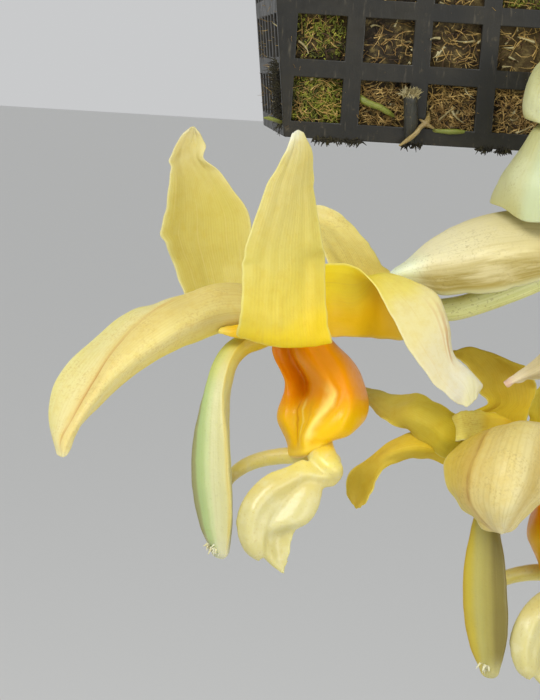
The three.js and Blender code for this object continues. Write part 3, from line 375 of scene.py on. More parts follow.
# The far side of the second flower's hood, seen from inside above its near side
HOOD_INSIDE = [
    [[-30, -5, 9.5], [-30, -5, 7], [-30.5, -5, 3.5]],
    [[-28, -8, 11.5], [-28, -9, 8], [-28.5, -10, 4]],
    [[-24.5, -8, 12], [-24.5, -9, 8.5], [-24, -9.5, 5]],
    [[-19.5, -7, 11.5], [-19.5, -8, 9], [-19.5, -8.5, 6]],
    [[-15, -6, 10], [-15, -7, 8.5], [-14.5, -7.5, 6.5]],
    [[-10, -5, 7], [-10, -5.5, 6.5], [-9.5, -6, 5.5]],
]

# The petals' narrow fold beside the column
PETAL_FOLD = [
    [[-8, -8, 3.5], [-8, -10, 1.5], [-8, -11, -1.2]],
    [[-13, -10, 3], [-13.5, -12, 1], [-13.5, -12, -1.2]],
    [[-17, -11, 2.4], [-17.5, -12.8, 0.8], [-17.5, -12.5, -0.6]],
    [[-20.5, -11.5, 1.6], [-21, -12.2, 1], [-21, -12, 0.5]],
]

# Lobes and notches of the first flower's margins, as blade takes them
LOBES = {
    "nearPetal": [
        (0, 0.80, 0.018, 0.5, 0.0), (0, 0.84, 0.02, -0.5, 0.2), (1, 0.815, 0.015, 0.45, 0.0),
        (1, 0.79, 0.015, -0.4, 0), (1, 0.54, 0.035, 1.5, 1.2), (1, 0.46, 0.03, -0.5, -0.5),
        (0, 0.52, 0.02, 0.3, 0.4), (1, 0.86, 0.03, 0.3, 0.3),
    ],
    "farPetal": [
        (0, 0.785, 0.016, 0.9, 0.2), (0, 0.76, 0.014, -0.5, 0.0), (0, 0.52, 0.018, 0.8, 0.3),
        (0, 0.49, 0.016, -0.9, 0), (0, 0.43, 0.02, -0.4, 0.4), (1, 0.85, 0.03, 0.9, 0.4),
        (1, 0.79, 0.018, -0.9, -0.4), (1, 0.74, 0.02, 0.3, 0.5), (0, 0.36, 0.02, 0.3, 0.3),
    ],
    "nearLateral": [(0, 0.78, 0.03, -0.4, 0.3), (1, 0.9, 0.03, 0.9, 0.4), (0, 0.62, 0.05, 0.3, 0.3)],
    "dorsalSepal": [(0, 0.5, 0.05, 0.3, 0.3), (1, 0.62, 0.08, 0.2, 0.3)],
    "farLateral": [(1, 0.5, 0.04, 0.4, 0.3), (1, 0.7, 0.04, 0.3, 0.3)],
}

# Openings where moss grows, as wall, column and row, named as often as they are likely
MOSSY_OPENINGS = [
    (0, 0, 0), (0, 0, 0), (0, 0, 0), (0, 0, 1), (0, 3, 2), (0, 5, 3), (1, 1, 0), (1, 4, 2), (1, 6, 1),
    (2, 2, 0), (2, 5, 1), (2, 0, 3), (3, 6, 0), (3, 6, 0), (3, 5, 0), (3, 1, 2), (3, 3, 3),
]
# Tufts under the front wall's lower edge: from and to across, depth, and how steeply they hang
HANGING_TUFTS = [
    (-54.8, -48.2, -63.3, -0.5), (-46.3, -42.5, -63.3, -0.4), (-30.4, -25.5, -63.2, -0.9),
    (-9.8, -6.5, -63.2, -0.6), (-4.8, -1.5, -63.1, -1.0), (-53, -44, -63.0, -0.2),
]

# The cut stub of an older stalk: places with its radius at each
STUB = [
    (-28.6, -62.6, -394.6, 1.5), (-28.9, -63.8, -393.0, 1.8), (-29.1, -65.0, -390.7, 1.9),
    (-29.4, -66.0, -386.8, 1.95), (-29.8, -66.6, -383.4, 2.0),
]

# The lip's outline as read off the photograph. A point is a photo place (right, down from the
# picture's upper left corner) with its depth in millimetres from the flower's middle.
PICTURE_MIDDLE = (270, 350)
PIXELS_PER_SLOPE = 2692.3
VIEW_DISTANCE = 700
VIEW_AIM = (-7.8, -3.9)

# The sac: rows down it, each a photo height and the (right, depth) points around it there
SAC_ROWS = [
    (334, [
        (280, 1), (284, 1), (290, 1), (295, -3), (303, -5), (312, -5), (320, -4), (327, 2), (322, 9),
        (305, 12), (288, 8),
    ]),
    (346, [
        (272, 0), (279, 0), (289, 0.5), (294.5, -4.5), (305, -7), (317, -6), (328, -5), (338, 2),
        (333, 10), (312, 14), (284, 8),
    ]),
    (358, [
        (274, 0), (281, 0), (293, 0.5), (297, -5), (310, -8.5), (324, -7.5), (338, -6), (350.5, 3),
        (344, 12), (318, 16), (286, 8),
    ]),
    (370, [
        (280, 0), (287, 0), (300, 1), (304, -5), (318, -9.5), (331, -8.5), (346, -6.5), (359, 4),
        (352, 13), (322, 17), (290, 9),
    ]),
    (381, [
        (284.5, 0), (291, -1), (305, 1), (310, -5), (326, -10), (336, -9), (351, -6.5), (363.5, 4),
        (356, 13), (326, 17), (294, 10),
    ]),
    (391, [
        (284, 0), (291, -2), (304, -0.5), (312, -5.5), (331, -10.5), (341, -9), (354, -6.5), (366.5, 4),
        (359, 13), (327, 17), (294, 10),
    ]),
    (400, [
        (281, 0), (288, -3), (299, -3), (311, -6.5), (330, -10.5), (340, -9), (355, -7), (368.5, 4),
        (361, 13), (327, 17), (291, 10),
    ]),
    (410, [
        (277.5, 0), (284, -4), (296, -4.5), (307.5, -7), (324, -10.5), (336, -9), (353, -8), (368.5, 3),
        (360, 12), (325, 16), (288, 9),
    ]),
    (420, [
        (277, 0), (283, -4.5), (296, -5), (305.5, -8), (315, -10.5), (328, -9), (348, -9), (365, 1),
        (356, 10), (320, 14), (287, 8),
    ]),
    (430, [
        (281, 0), (287, -4.5), (297, -5.5), (303, -8), (309, -10), (320, -9), (343, -9), (356, -2),
        (347, 7), (316, 10), (289, 6),
    ]),
    (438, [
        (285, 0), (290, -4.5), (297, -5.5), (301, -8), (307, -9.5), (318, -9), (336, -8.5), (347, -4),
        (338, 3), (312, 6), (290, 4),
    ]),
    (446, [
        (287.5, 0), (291, -4), (297, -6), (301, -8), (306, -9), (315, -8.5), (327, -8), (333, -5),
        (326, 0), (308, 3), (291, 2),
    ]),
    (453, [
        (288, 0), (291, -3), (297, -6), (301, -7.5), (306, -8.5), (314, -8.5), (322, -8), (327, -6),
        (322, -2), (307, 0.5), (292, 0),
    ]),
]
# The sac's last rows rise to the right: row number and pixels of rise at its right side
SAC_TILT = {10: 1.0, 11: 5.0, 12: 10.0}
SAC_TILT_FROM = 288
SAC_TILT_SPAN = 45.0

# Neck, near horn and tongue: rows along each, as outer photo place, inner photo place, depth and thickness
NECK_ROWS = [
    ((300, 432), (331, 429), 2, 0.7), ((302, 441), (333, 438), -1.5, 0.95),
    ((303.5, 449), (334.5, 446), -4.5, 1.1), ((306, 457), (338, 455), -6.5, 1.15),
    ((312, 465), (342, 463), -8, 1.1), ((320, 471), (343.5, 470), -9, 0.95),
    ((329, 476), (341, 476), -9.5, 0.5),
]
HORN_ROWS = [
    ((339, 462), (342, 479), -8, 0.5), ((331, 466), (334, 487), -8, 1), ((318, 466), (321, 488), -9, 1.1),
    ((303, 459), (306, 491), -10, 1.2), ((287, 466), (291, 500), -11.5, 1.2),
    ((268, 473), (280.5, 507), -13, 1.2), ((253, 485), (273, 515), -14, 1.15),
    ((242, 500), (268, 525), -15, 1.1), ((236, 517), (265.5, 537), -15, 1),
    ((237, 535), (265, 548), -15, 0.85), ((244, 552), (264, 556.5), -14.5, 0.6),
    ((255, 561), (260, 562), -14, 0.15),
]
TONGUE_ROWS = [
    ((298, 474), (322, 480), -9.3, 0.7), ((283, 487), (323, 491), -10.6, 1),
    ((270, 499), (320.5, 504), -11.8, 1), ((262, 511), (316, 515), -12.6, 1),
    ((257, 523), (307, 525), -13.2, 1), ((254, 535), (296, 532), -13.4, 0.95),
    ((256, 547), (292.5, 545), -13.2, 0.85), ((263, 558), (290, 557), -12.8, 0.7),
    ((272, 567), (288, 566), -12.2, 0.5), ((281, 574), (285.5, 575), -11.6, 0.2),
]
# Sections of these three: share of the way from outer to inner place, and millimetres of depth
NECK_SECTION = [
    (0, 0), (0.25, -2.8), (0.55, -3.6), (0.85, -2.4), (1, 0), (0.8, 2.8), (0.5, 3.4), (0.2, 2.4),
]
HORN_SECTION = [
    (0, 0), (0.18, -1.9), (0.36, -3.1), (0.52, -3.2), (0.76, -2), (1, -1), (0.7, 2.4), (0.3, 2),
]
TONGUE_ROUND = [
    (0, -0.8), (0.2, -1.4), (0.5, -2.7), (0.76, -2.6), (1, -0.2), (0.85, 1.6), (0.5, 2.2), (0.2, 0.6),
]
TONGUE_TURN = [
    (0, -0.8), (0.2, -1.8), (0.48, -2.8), (0.8, -1.9), (1, -0.2), (0.85, 1.4), (0.5, 2), (0.2, 0.6),
]
TONGUE_CURLED = [
    (0, -0.8), (0.16, -2.3), (0.34, -1.8), (0.62, 0.7), (0.88, 0.3), (1, 0.8), (0.6, 2.6), (0.2, 1.6),
]
TONGUE_SECTIONS = [TONGUE_ROUND] * 4 + [TONGUE_TURN] + [TONGUE_CURLED] * 5

# Shapes


def ease(values, low, high):
    """0 below low, 1 above high, and a soft step between."""
    share = np.clip((values - low) / (high - low), 0, 1)
    return share * share * (3 - 2 * share)


def through(count, samples, closed=False):
    """The share that each of count points has in each of samples places on the smooth curve through them."""
    spans = count if closed else count - 1
    shares = np.zeros((samples, count))
    for row, place in enumerate(np.linspace(0, spans, samples)):
        first = min(int(place), spans - 1)
        w = place - first
        basis = (
            -0.5 * w + w**2 - 0.5 * w**3,
            1 - 2.5 * w**2 + 1.5 * w**3,
            0.5 * w + 2 * w**2 - 1.5 * w**3,
            -0.5 * w**2 + 0.5 * w**3,
        )
        for at, value in zip(range(first - 1, first + 3), basis):
            if closed:
                shares[row, at % count] += value
            elif at < 0:
                shares[row, 0] += 2 * value
                shares[row, 1] -= value
            elif at >= count:
                shares[row, -1] += 2 * value
                shares[row, -2] -= value
            else:
                shares[row, at] += value
    return shares


def surface(net, along, across, closed=False):
    """A fine grid of points on the smooth sheet through a net; closed joins its last column to its first."""
    net = np.array(net, float)
    return np.einsum("ai,ijc,bj->abc", through(len(net), along), net, through(net.shape[1], across, closed))


def curve(stations, samples):
    return through(len(stations), samples) @ np.array(stations, float)


def unit(vectors):
    return vectors / np.maximum(np.linalg.norm(vectors, axis=-1, keepdims=True), 1e-9)


def facing(points, closed=False):
    """The direction that the sheet faces at each of its points."""
    aside = np.gradient(points, axis=1)
    if closed:
        aside[:, 0] = aside[:, -1] = (points[:, 1] - points[:, -2]) / 2
    return unit(np.cross(np.gradient(points, axis=0), aside))


def lumps(points, size, seed=0):
    """Soft noise from -1 to 1 whose lumps are about size millimetres, at each point."""
    flat = points.reshape(-1, 3) / size + seed * 7.3
    return np.array([noise.noise(Vector(p)) for p in flat]).reshape(points.shape[:-1])


def waves(rng, places, slowest, fastest, count=7):
    """A wandering line: a few waves of between slowest and fastest turns over the length."""
    total = np.zeros_like(places)
    for _ in range(count):
        turns = rng.uniform(slowest, fastest)
        total += rng.uniform(0.4, 1) * np.sin(2 * math.pi * (turns * places + rng.random()))
    return total / math.sqrt(count)


def tube(stations, steps, sides, hint, section=None):
    """Rings of points along a stem through stations (x, y, z, half width, half depth, ...)."""
    stations = [list(s) + [s[3]] * (5 - len(s)) for s in stations]
    fine = curve(stations, steps)
    centres, sizes = fine[:, :3], fine[:, 3:]
    ahead = unit(np.gradient(centres, axis=0))
    hint = np.array(hint, float)
    width = unit(hint - ahead * (ahead @ hint)[:, None])
    depth = np.cross(ahead, width)
    if section is None:
        turn = np.linspace(0, 2 * math.pi, sides)
        rings = np.stack([sizes[:, :1] * np.cos(turn), sizes[:, 1:2] * np.sin(turn)], axis=2)
    else:
        outlines = np.array([section(size) for size in sizes])
        rings = np.einsum("bj,ijc->ibc", through(outlines.shape[1], sides, closed=True), outlines)
    return centres[:, None] + width[:, None] * rings[..., :1] + depth[:, None] * rings[..., 1:]


def cap_ends(points, bulge=1.0):
    """Rows of rings with a rounded cap down to a pole at each end."""
    def cap(last, before):
        centre = last.mean(axis=0)
        way = unit(centre - before.mean(axis=0))
        reach = np.linalg.norm(last - centre, axis=1).mean() * bulge
        angles = (0.4, 0.8, 1.15, 1.4, math.pi / 2)
        return [centre + (last - centre) * math.cos(a) + way * reach * math.sin(a) for a in angles]

    return np.array([*cap(points[0], points[1])[::-1], *points, *cap(points[-1], points[-2])])


def roughened(rings, height, coarse, fine, fine_share, seed):
    """Closed rings of points with soft relief about height millimetres high, and none on their caps."""
    relief = height * (lumps(rings, coarse, seed) + fine_share * lumps(rings, fine, seed + 1))
    relief[:, -1] = relief[:, 0]
    relief[:CAP_ROWS] = relief[-CAP_ROWS:] = 0
    return rings + facing(rings, closed=True) * relief[..., None]


def moved(points, matrix):
    """Points taken by a matrix of the object's frame in millimetres, into metres."""
    table = np.array(matrix)
    return (points @ table[:3, :3].T + table[:3, 3]) * MM


def new_bm():
    bm = bmesh.new()
    bm.loops.layers.uv.new("UVMap")
    bm.verts.layers.float_vector.new("own")
    return bm


def lay(bm, points, own=None):
    """Adds a sheet of faces over a grid of points in metres. own is the same grid in the piece's own
    frame, kept for its pattern."""
    rows, columns = points.shape[:2]
    grid = bmesh.ops.create_grid(bm, x_segments=rows - 1, y_segments=columns - 1, size=1, calc_uvs=True)
    made = grid["verts"]
    for vert, place in zip(made, points.transpose(1, 0, 2).reshape(-1, 3)):
        vert.co = place
    if own is not None:
        layer = bm.verts.layers.float_vector["own"]
        for vert, place in zip(made, own.transpose(1, 0, 2).reshape(-1, 3)):
            vert[layer] = place
    return made


def weld(bm, verts):
    """Merges what touches at a seam or pole, and turns the faces outward."""
    bmesh.ops.remove_doubles(bm, verts=verts, dist=TOUCHING)
    bmesh.ops.recalc_face_normals(bm, faces=bm.faces)


def mesh_of(name, bm):
    mesh = bpy.data.meshes.new(name)
    bm.to_mesh(mesh)
    bm.free()
    return mesh


def linked(name, data):
    """A new object in the scene."""
    made = bpy.data.objects.new(name, data)
    bpy.context.collection.objects.link(made)
    return made


def baked(draft):
    """The mesh that a draft object comes to; the draft is then removed."""
    bpy.context.view_layer.update()
    mesh = bpy.data.meshes.new_from_object(draft.evaluated_get(bpy.context.evaluated_depsgraph_get()))
    bpy.data.objects.remove(draft)
    return mesh


def piece_of(name, bm, finish, nodes=()):
    """A piece of the look, on the one body and the CAD nodes that it stands for."""
    mesh = mesh_of(name, bm)
    mesh.shade_smooth()
    mesh.materials.append(finish)
    piece = linked(name, mesh)
    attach(piece, "root")
    if nodes:
        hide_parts(*nodes)
    return piece


def round_off(piece):
    soft = piece.modifiers.new("soft", "SUBSURF")
    soft.levels = SOFTENING
    soft.render_levels = SOFTENING
    return piece


def shell(name, rings, matrix, finish, nodes=()):
    """A closed piece over rings of points."""
    bm = new_bm()
    weld(bm, lay(bm, moved(rings, matrix), rings))
    return round_off(piece_of(name, bm, finish, nodes))


def blade(name, net, matrix, finish, nodes=(), along=64, across=25, thick=0.9, rim=0.4, ripple=0.3,
          nibble=0.22, crumple=0.25, seed=1, lobes=(), folds=0.22):
    """A thin petal-like sheet with a wavy, slightly bitten margin, thinner at its rim. The margin's waves
    are ripple high and its bites nibble deep, and crumple and folds are the height of soft lumps and of
    creases along it, all in millimetres. lobes are (side 0 or 1, place from base to tip, reach along it,
    millimetres outward, millimetres lifted)."""
    rng = random.Random(seed)
    points = surface(net, along, across)
    places = np.linspace(0, 1, along)
    edge = np.abs(np.linspace(-1, 1, across))
    first = np.linspace(-1, 1, across) < 0
    inward = unit(points[:, across // 2] - points[:, 0])[:, None] * first[None, :, None]
    inward = inward + unit(points[:, across // 2] - points[:, -1])[:, None] * ~first[None, :, None]
    bites = np.where(first, waves(rng, places, 5, 16)[:, None], waves(rng, places, 5, 16)[:, None])
    points = points + inward * (nibble * np.maximum(bites, -0.3) * ease(edge, 0.82, 1))[..., None]
    lobe_lift = np.zeros((along, across))
    for side, place, reach, outward, raised in lobes:
        here = np.exp(-(((places - place) / reach) ** 2))[:, None] * (first if side == 0 else ~first)[None, :]
        points = points - inward * (outward * here * ease(edge, 0.45, 1))[..., None]
        lobe_lift += raised * here * ease(edge, 0.35, 0.95)
    normal = facing(points)
    lift = lobe_lift + ripple * ease(edge, 0.55, 1) * np.where(
        first, waves(rng, places, 2, 7)[:, None], waves(rng, places, 2, 7)[:, None])
    lift = lift + crumple * (lumps(points, 7, seed) + 0.4 * lumps(points, 2.6, seed + 5))
    span = np.linalg.norm(points[along // 2, -1] - points[along // 2, 0])
    spread = np.stack(np.broadcast_arrays(places[:, None] * 3.0, np.linspace(0, span, across)[None, :] / 2.6,
                                          np.zeros((along, across))), axis=2)
    lift = lift + folds * lumps(spread, 1, seed + 9)
    lift = lift * ease(places, 0, 0.1)[:, None]
    points = points + normal * lift[..., None]
    bm = new_bm()
    verts = lay(bm, moved(points, matrix), points)
    piece = piece_of(name, bm, finish, nodes)
    body = piece.vertex_groups.new(name="body")
    fullness = (1 - ease(edge, 0.75, 1))[None, :] * (1 - ease(places, 0.94, 1))[:, None]
    for number, share in enumerate(fullness.T.reshape(-1)):
        body.add([number], float(share), "REPLACE")
    wall = piece.modifiers.new("wall", "SOLIDIFY")
    wall.thickness = thick * MM
    wall.offset = 0
    wall.vertex_group = "body"
    wall.thickness_vertex_group = rim / thick
    return round_off(piece)


# Finishes


def linear(code):
    """A colour as (r, g, b, 1) from six hex digits of its screen value."""
    parts = [int(code[k:k + 2], 16) / 255 for k in (0, 2, 4)]
    return (*[p / 12.92 if p < 0.04045 else ((p + 0.055) / 1.055) ** 2.4 for p in parts], 1)


class Finish:
    """A material of nodes. Methods return sockets, and take sockets, numbers or six-digit colours."""

    def __init__(self, name):
        self.material = bpy.data.materials.new(name)
        self.material.use_nodes = True
        self.tree = self.material.node_tree
        self.tree.nodes.clear()
        spots = self.node("ShaderNodeTexCoord")
        self.place = spots.outputs["Object"]
        self.uv = spots.outputs["UV"]
        parts = self.node("ShaderNodeSeparateXYZ")
        self.put(parts.inputs[0], self.uv)
        self.along, self.across = parts.outputs["X"], parts.outputs["Y"]

    def node(self, kind, **settings):
        made = self.tree.nodes.new(kind)
        for key, value in settings.items():
            setattr(made, key, value)
        return made

    def put(self, socket, value):
        if isinstance(value, bpy.types.NodeSocket):
            self.tree.links.new(value, socket)
        elif isinstance(value, str):
            socket.default_value = linear(value)
        else:
            socket.default_value = value

    def own(self):
        return self.node("ShaderNodeAttribute", attribute_name="own").outputs["Vector"]

    def split(self, vector):
        parts = self.node("ShaderNodeSeparateXYZ")
        self.put(parts.inputs[0], vector)
        return parts.outputs

    def stretch(self, vector, scale, turn=(0, 0, 0)):
        made = self.node("ShaderNodeMapping")
        self.put(made.inputs["Vector"], vector)
        self.put(made.inputs["Scale"], scale)
        self.put(made.inputs["Rotation"], turn)
        return made.outputs[0]

    def noise(self, vector, scale, detail=3.0, rough=0.55, bend=0.0):
        made = self.node("ShaderNodeTexNoise")
        for name, value in (("Vector", vector), ("Scale", scale), ("Detail", detail), ("Roughness", rough),
                            ("Distortion", bend)):
            self.put(made.inputs[name], value)
        return made.outputs[0]

    def streaks(self, along, across, detail=3.0, rough=0.55, bend=0.0):
        """Noise with a scale of its own along the piece and across it."""
        return self.noise(self.stretch(self.uv, (along, across, 1)), 1.0, detail, rough, bend)

    def drift(self, scale, reach):
        """Noise around zero, reach from its lowest to its highest."""
        return self.times(self.minus(self.noise(self.place, scale, 3), 0.5), reach)

    def ramp(self, value, *stops):
        made = self.node("ShaderNodeValToRGB")
        band = made.color_ramp
        band.interpolation = "EASE"
        while len(band.elements) < len(stops):
            band.elements.new(0.5)
        for element, (place, colour) in zip(band.elements, stops):
            element.position = place
            element.color = linear(colour)
        self.put(made.inputs[0], value)
        return made.outputs[0]

    def mix(self, share, under, over, way="MIX"):
        made = self.node("ShaderNodeMix", data_type="RGBA", blend_type=way)
        self.put(made.inputs[0], share)
        self.put(made.inputs[6], under)
        self.put(made.inputs[7], over)
        return made.outputs[2]

    def cover(self, colour, value, low, high, share, over):
        """Lays the colour over where a value passes from low to high, up to a share."""
        return self.mix(self.step(value, low, high, 0.0, share), colour, over)

    def sum(self, way, first, second=0.0):
        made = self.node("ShaderNodeMath", operation=way)
        self.put(made.inputs[0], first)
        self.put(made.inputs[1], second)
        return made.outputs[0]

    def plus(self, first, second):
        return self.sum("ADD", first, second)

    def minus(self, first, second):
        return self.sum("SUBTRACT", first, second)

    def times(self, first, second):
        return self.sum("MULTIPLY", first, second)

    def apart(self, first, second):
        return self.sum("ABSOLUTE", self.minus(first, second))

    def rim(self):
        """0 along the middle of a piece and 1 at its two margins."""
        return self.apart(self.times(self.across, 2.0), 1.0)

    def step(self, value, low, high, start=0.0, end=1.0):
        made = self.node("ShaderNodeMapRange", interpolation_type="SMOOTHSTEP")
        for number, given in enumerate((value, low, high, start, end)):
            self.put(made.inputs[number], given)
        return made.outputs[0]

    def both(self, *shares):
        total = shares[0]
        for share in shares[1:]:
            total = self.times(total, share)
        return total

    def finish(self, colour, rough=0.5, relief=None, height=0.3, glow=0.0, depth=2.0, gloss=0.5, coat=0.0):
        """Ends the material. relief is a height from 0 to 1 worth height millimetres; glow is the share of
        light that goes into the flesh, about depth millimetres deep."""
        if glow > FLESH_GLOW:
            colour = self.mix(1.0, colour, FLESH_TINT, "MULTIPLY")
        shader = self.node("ShaderNodeBsdfPrincipled")
        self.put(shader.inputs["Base Color"], colour)
        self.put(shader.inputs["Roughness"], rough)
        self.put(shader.inputs["Specular IOR Level"], gloss)
        self.put(shader.inputs["Coat Weight"], coat)
        self.put(shader.inputs["Coat Roughness"], COAT_ROUGHNESS)
        if glow:
            self.put(shader.inputs["Subsurface Weight"], glow)
            self.put(shader.inputs["Subsurface Radius"], FLESH_REACH)
            self.put(shader.inputs["Subsurface Scale"], depth * MM)
        if relief is not None:
            bump = self.node("ShaderNodeBump")
            self.put(bump.inputs["Strength"], 1.0)
            self.put(bump.inputs["Distance"], height * MM)
            self.put(bump.inputs["Height"], relief)
            self.put(shader.inputs["Normal"], bump.outputs[0])
        out = self.node("ShaderNodeOutputMaterial")
        self.put(out.inputs["Surface"], shader.outputs[0])
        return self.material


def petal_finish(name, body, side=None, side_share=0.5, lean=0.0, margin="f0e3b4", margin_share=0.35,
                 lines=26, line="b8983c", line_share=0.16, streak="c79b4a", streak_share=0.3,
                 speckle="b98f45", speckle_share=0.0, tip=None, stripes=(), foot=None, rough=0.48, height=0.1,
                 glow=0.4, gloss=0.35):
    """A tepal: body colours run from its base to its tip, side colours from one margin to the other, fine
    parallel lines run along it, and lean draws the base's colours up one side. stripes are (place across,
    half width, from, to, colour, share), and foot is (colour, from and to across, from and to along,
    share)."""
    look = Finish(name)
    drift = look.minus(look.noise(look.place, 90, 3), 0.5)
    along = look.plus(look.along, look.times(drift, 0.16))
    if lean:
        along = look.minus(along, look.times(look.across, lean))
    colour = look.ramp(along, *body)
    aside = look.plus(look.across, look.times(drift, 0.08))
    if side:
        colour = look.mix(side_share, colour, look.ramp(aside, *side))
    mottle = look.noise(look.place, 420, 4, 0.65)
    deeper = look.mix(1.0, colour, "f4e6b0", "MULTIPLY")
    colour = look.cover(colour, mottle, 0.42, 0.7, 0.3, deeper)
    bend = look.streaks(3.0, 7.0, 2, 0.5)
    wave = look.plus(look.times(look.across, lines * 2 * math.pi), look.times(bend, 9.0))
    thread = look.sum("SINE", wave)
    patch = look.streaks(5, 9, 3)
    seen = look.step(patch, 0.38, 0.62, 0.25, 1.0)
    colour = look.mix(look.both(look.step(thread, 0.1, 1.0), seen, line_share), colour, line)
    streaks = look.streaks(2.0, 30.0, 3, 0.6, 0.2)
    colour = look.mix(look.both(look.step(streaks, 0.54, 0.7), streak_share), colour, streak)
    if foot:
        where = look.both(look.step(aside, foot[1], foot[2]), look.step(along, foot[4], foot[3]), foot[5])
        colour = look.mix(where, colour, foot[0])
    wander = look.plus(look.across, look.times(look.minus(bend, 0.5), 0.06))
    for place, half, start, end, shade, share in stripes:
        near = look.apart(wander, place)
        where = look.both(look.step(near, half, half * 0.2), look.step(along, start, start + 0.12),
                          look.step(along, end, end - 0.12), seen, share)
        colour = look.mix(where, colour, shade)
    grains = look.noise(look.place, 1700, 2, 0.5)
    if speckle_share:
        dots = look.both(look.step(grains, 0.5, 0.66), look.step(look.noise(look.place, 150, 3), 0.35, 0.7),
                         speckle_share)
        colour = look.mix(dots, colour, speckle)
    rim = look.rim()
    colour = look.cover(colour, rim, 0.92, 1.0, margin_share, margin)
    if tip:
        colour = look.mix(look.step(along, 0.88, 1.0), colour, tip)
    relief = look.plus(look.times(thread, 0.06), look.times(streaks, 0.5))
    relief = look.plus(relief, look.times(grains, 0.35))
    return look.finish(colour, look.step(mottle, 0.3, 0.7, rough - 0.06, rough + 0.08), relief, height, glow,
                       gloss=gloss)


def sac_finish():
    """The waxy sac: deep orange in its hollow and yellow at its foot, with a painted highlight along the
    crest across its front, and painted shade and a painted highlight along the fold beside its hollow.
    """
    look = Finish("waxy_orange_sac")
    drift = look.drift(160, 0.08)
    around = look.plus(look.across, drift)
    down = look.plus(look.along, drift)
    top = look.ramp(
        around, (0.0, "f09400"), (0.1, "f29600"), (0.2, "f09000"), (0.262, "f49a00"), (0.3, "f79c00"),
        (0.45, "f69c00"), (0.66, "ee9600"), (1.0, "ea8c00"))
    # The foot's ramp is palest near 0.37, under the crest: painted highlight.
    foot = look.ramp(
        around, (0.0, "ecb000"), (0.12, "eeb600"), (0.262, "f2bc00"), (0.31, "f6c40c"), (0.37, "fccc3c"),
        (0.44, "f4c010"), (0.56, "f2bc00"), (0.7, "f0b000"), (1.0, "e6a000"))
    colour = look.mix(look.step(down, 0.42, 0.68), top, foot)
    # Painted highlight: a pale yellow band along the crest across the sac's front.
    ridge_highlight = look.both(look.step(around, 0.31, 0.36), look.step(around, 0.44, 0.38),
                      look.step(down, 0.32, 0.5), look.step(down, 0.88, 0.74))
    colour = look.mix(look.times(ridge_highlight, 0.75), colour, "ffdf7c")
    colour = look.cover(colour, down, 0.84, 0.97, 0.7, "f4cc48")
    # Painted light along the fold beside the hollow: a dark orange line of painted shade in the fold, a pale
    # line of painted highlight on its edge, and painted shade beside it.
    for place, half, shade, share in ((0.205, 0.014, "d08400", 0.7), (0.25, 0.014, "ffe274", 0.6),
                                      (0.29, 0.014, "e0a000", 0.5)):
        near = look.apart(around, place)
        where = look.both(look.step(near, half, 0.0), look.step(down, 0.46, 0.56), look.step(down, 0.9, 0.8),
                          share)
        colour = look.mix(where, colour, shade)
    spots = look.noise(look.place, 700, 3)
    colour = look.cover(colour, spots, 0.6, 0.74, 0.15, "d87c00")
    relief = look.noise(look.place, 500, 4, 0.55)
    dull = look.step(spots, 0.3, 0.7, 0.3, 0.45)
    return look.finish(colour, dull, relief, 0.1, 0.5, 2.0, gloss=0.2, coat=0.12)


def forelip_finish():
    """Firm waxy flesh, yellow where it leaves the sac and ivory along its horns and tongue."""
    look = Finish("ivory_lip_flesh")
    own = look.split(look.own())
    drift = look.drift(120, 5.0)
    down = look.times(look.plus(own["Z"], drift), -1.0)
    colour = look.ramp(
        look.step(down, 26.0, 60.0), (0.0, "eac22c"), (0.1, "ecd876"), (0.26, "dbc77e"), (0.6, "d6c88d"),
        (1.0, "d2c383"))
    far = look.both(look.step(own["X"], 2.0, -6.0), look.step(down, 34.0, 30.0), 0.8)
    colour = look.mix(far, colour, "e4d490")
    cloud = look.noise(look.place, 260, 4, 0.6)
    colour = look.cover(colour, cloud, 0.45, 0.75, 0.5, "e3d8af")
    grains = look.noise(look.place, 1400, 2)
    colour = look.cover(colour, grains, 0.6, 0.7, 0.22, "b68e48")
    relief = look.noise(look.place, 450, 4, 0.55)
    return look.finish(colour, look.step(cloud, 0.3, 0.7, 0.28, 0.42), relief, 0.15, 0.45, 2.2, coat=0.15)


def column_finish(name, foot, low, tip):
    """The column: yellow at its foot, bands of green and white down its length, and a paler tip."""
    look = Finish(name)
    drift = look.drift(150, 0.1)
    along = look.plus(look.along, drift)
    aside = look.plus(look.across, look.times(drift, 0.25))
    colour = look.mix(look.step(along, 0.16, 0.46), look.ramp(aside, *foot), look.ramp(aside, *low))
    colour = look.cover(colour, along, 0.86, 0.97, 0.75, tip)
    threads = look.streaks(3, 60, 3)
    colour = look.cover(colour, threads, 0.52, 0.7, 0.14, "a49a55")
    grains = look.noise(look.place, 1500, 2)
    colour = look.cover(colour, grains, 0.6, 0.7, 0.12, "8e7a48")
    return look.finish(colour, 0.4, look.plus(threads, grains), 0.06, 0.4, gloss=0.4)


def stem_finish(name, pale, green, tan):
    """A stalk or ovary: streaked along, with faint scales of darker speckle."""
    look = Finish(name)
    threads = look.streaks(4, 26, 4, 0.6)
    cloud = look.noise(look.place, 120, 3)
    colour = look.mix(look.step(threads, 0.35, 0.68), green, pale)
    colour = look.cover(colour, cloud, 0.5, 0.75, 0.5, tan)
    grains = look.noise(look.place, 1300, 2)
    colour = look.cover(colour, grains, 0.6, 0.7, 0.35, "8a7440")
    return look.finish(colour, 0.45, threads, 0.15, 0.35)


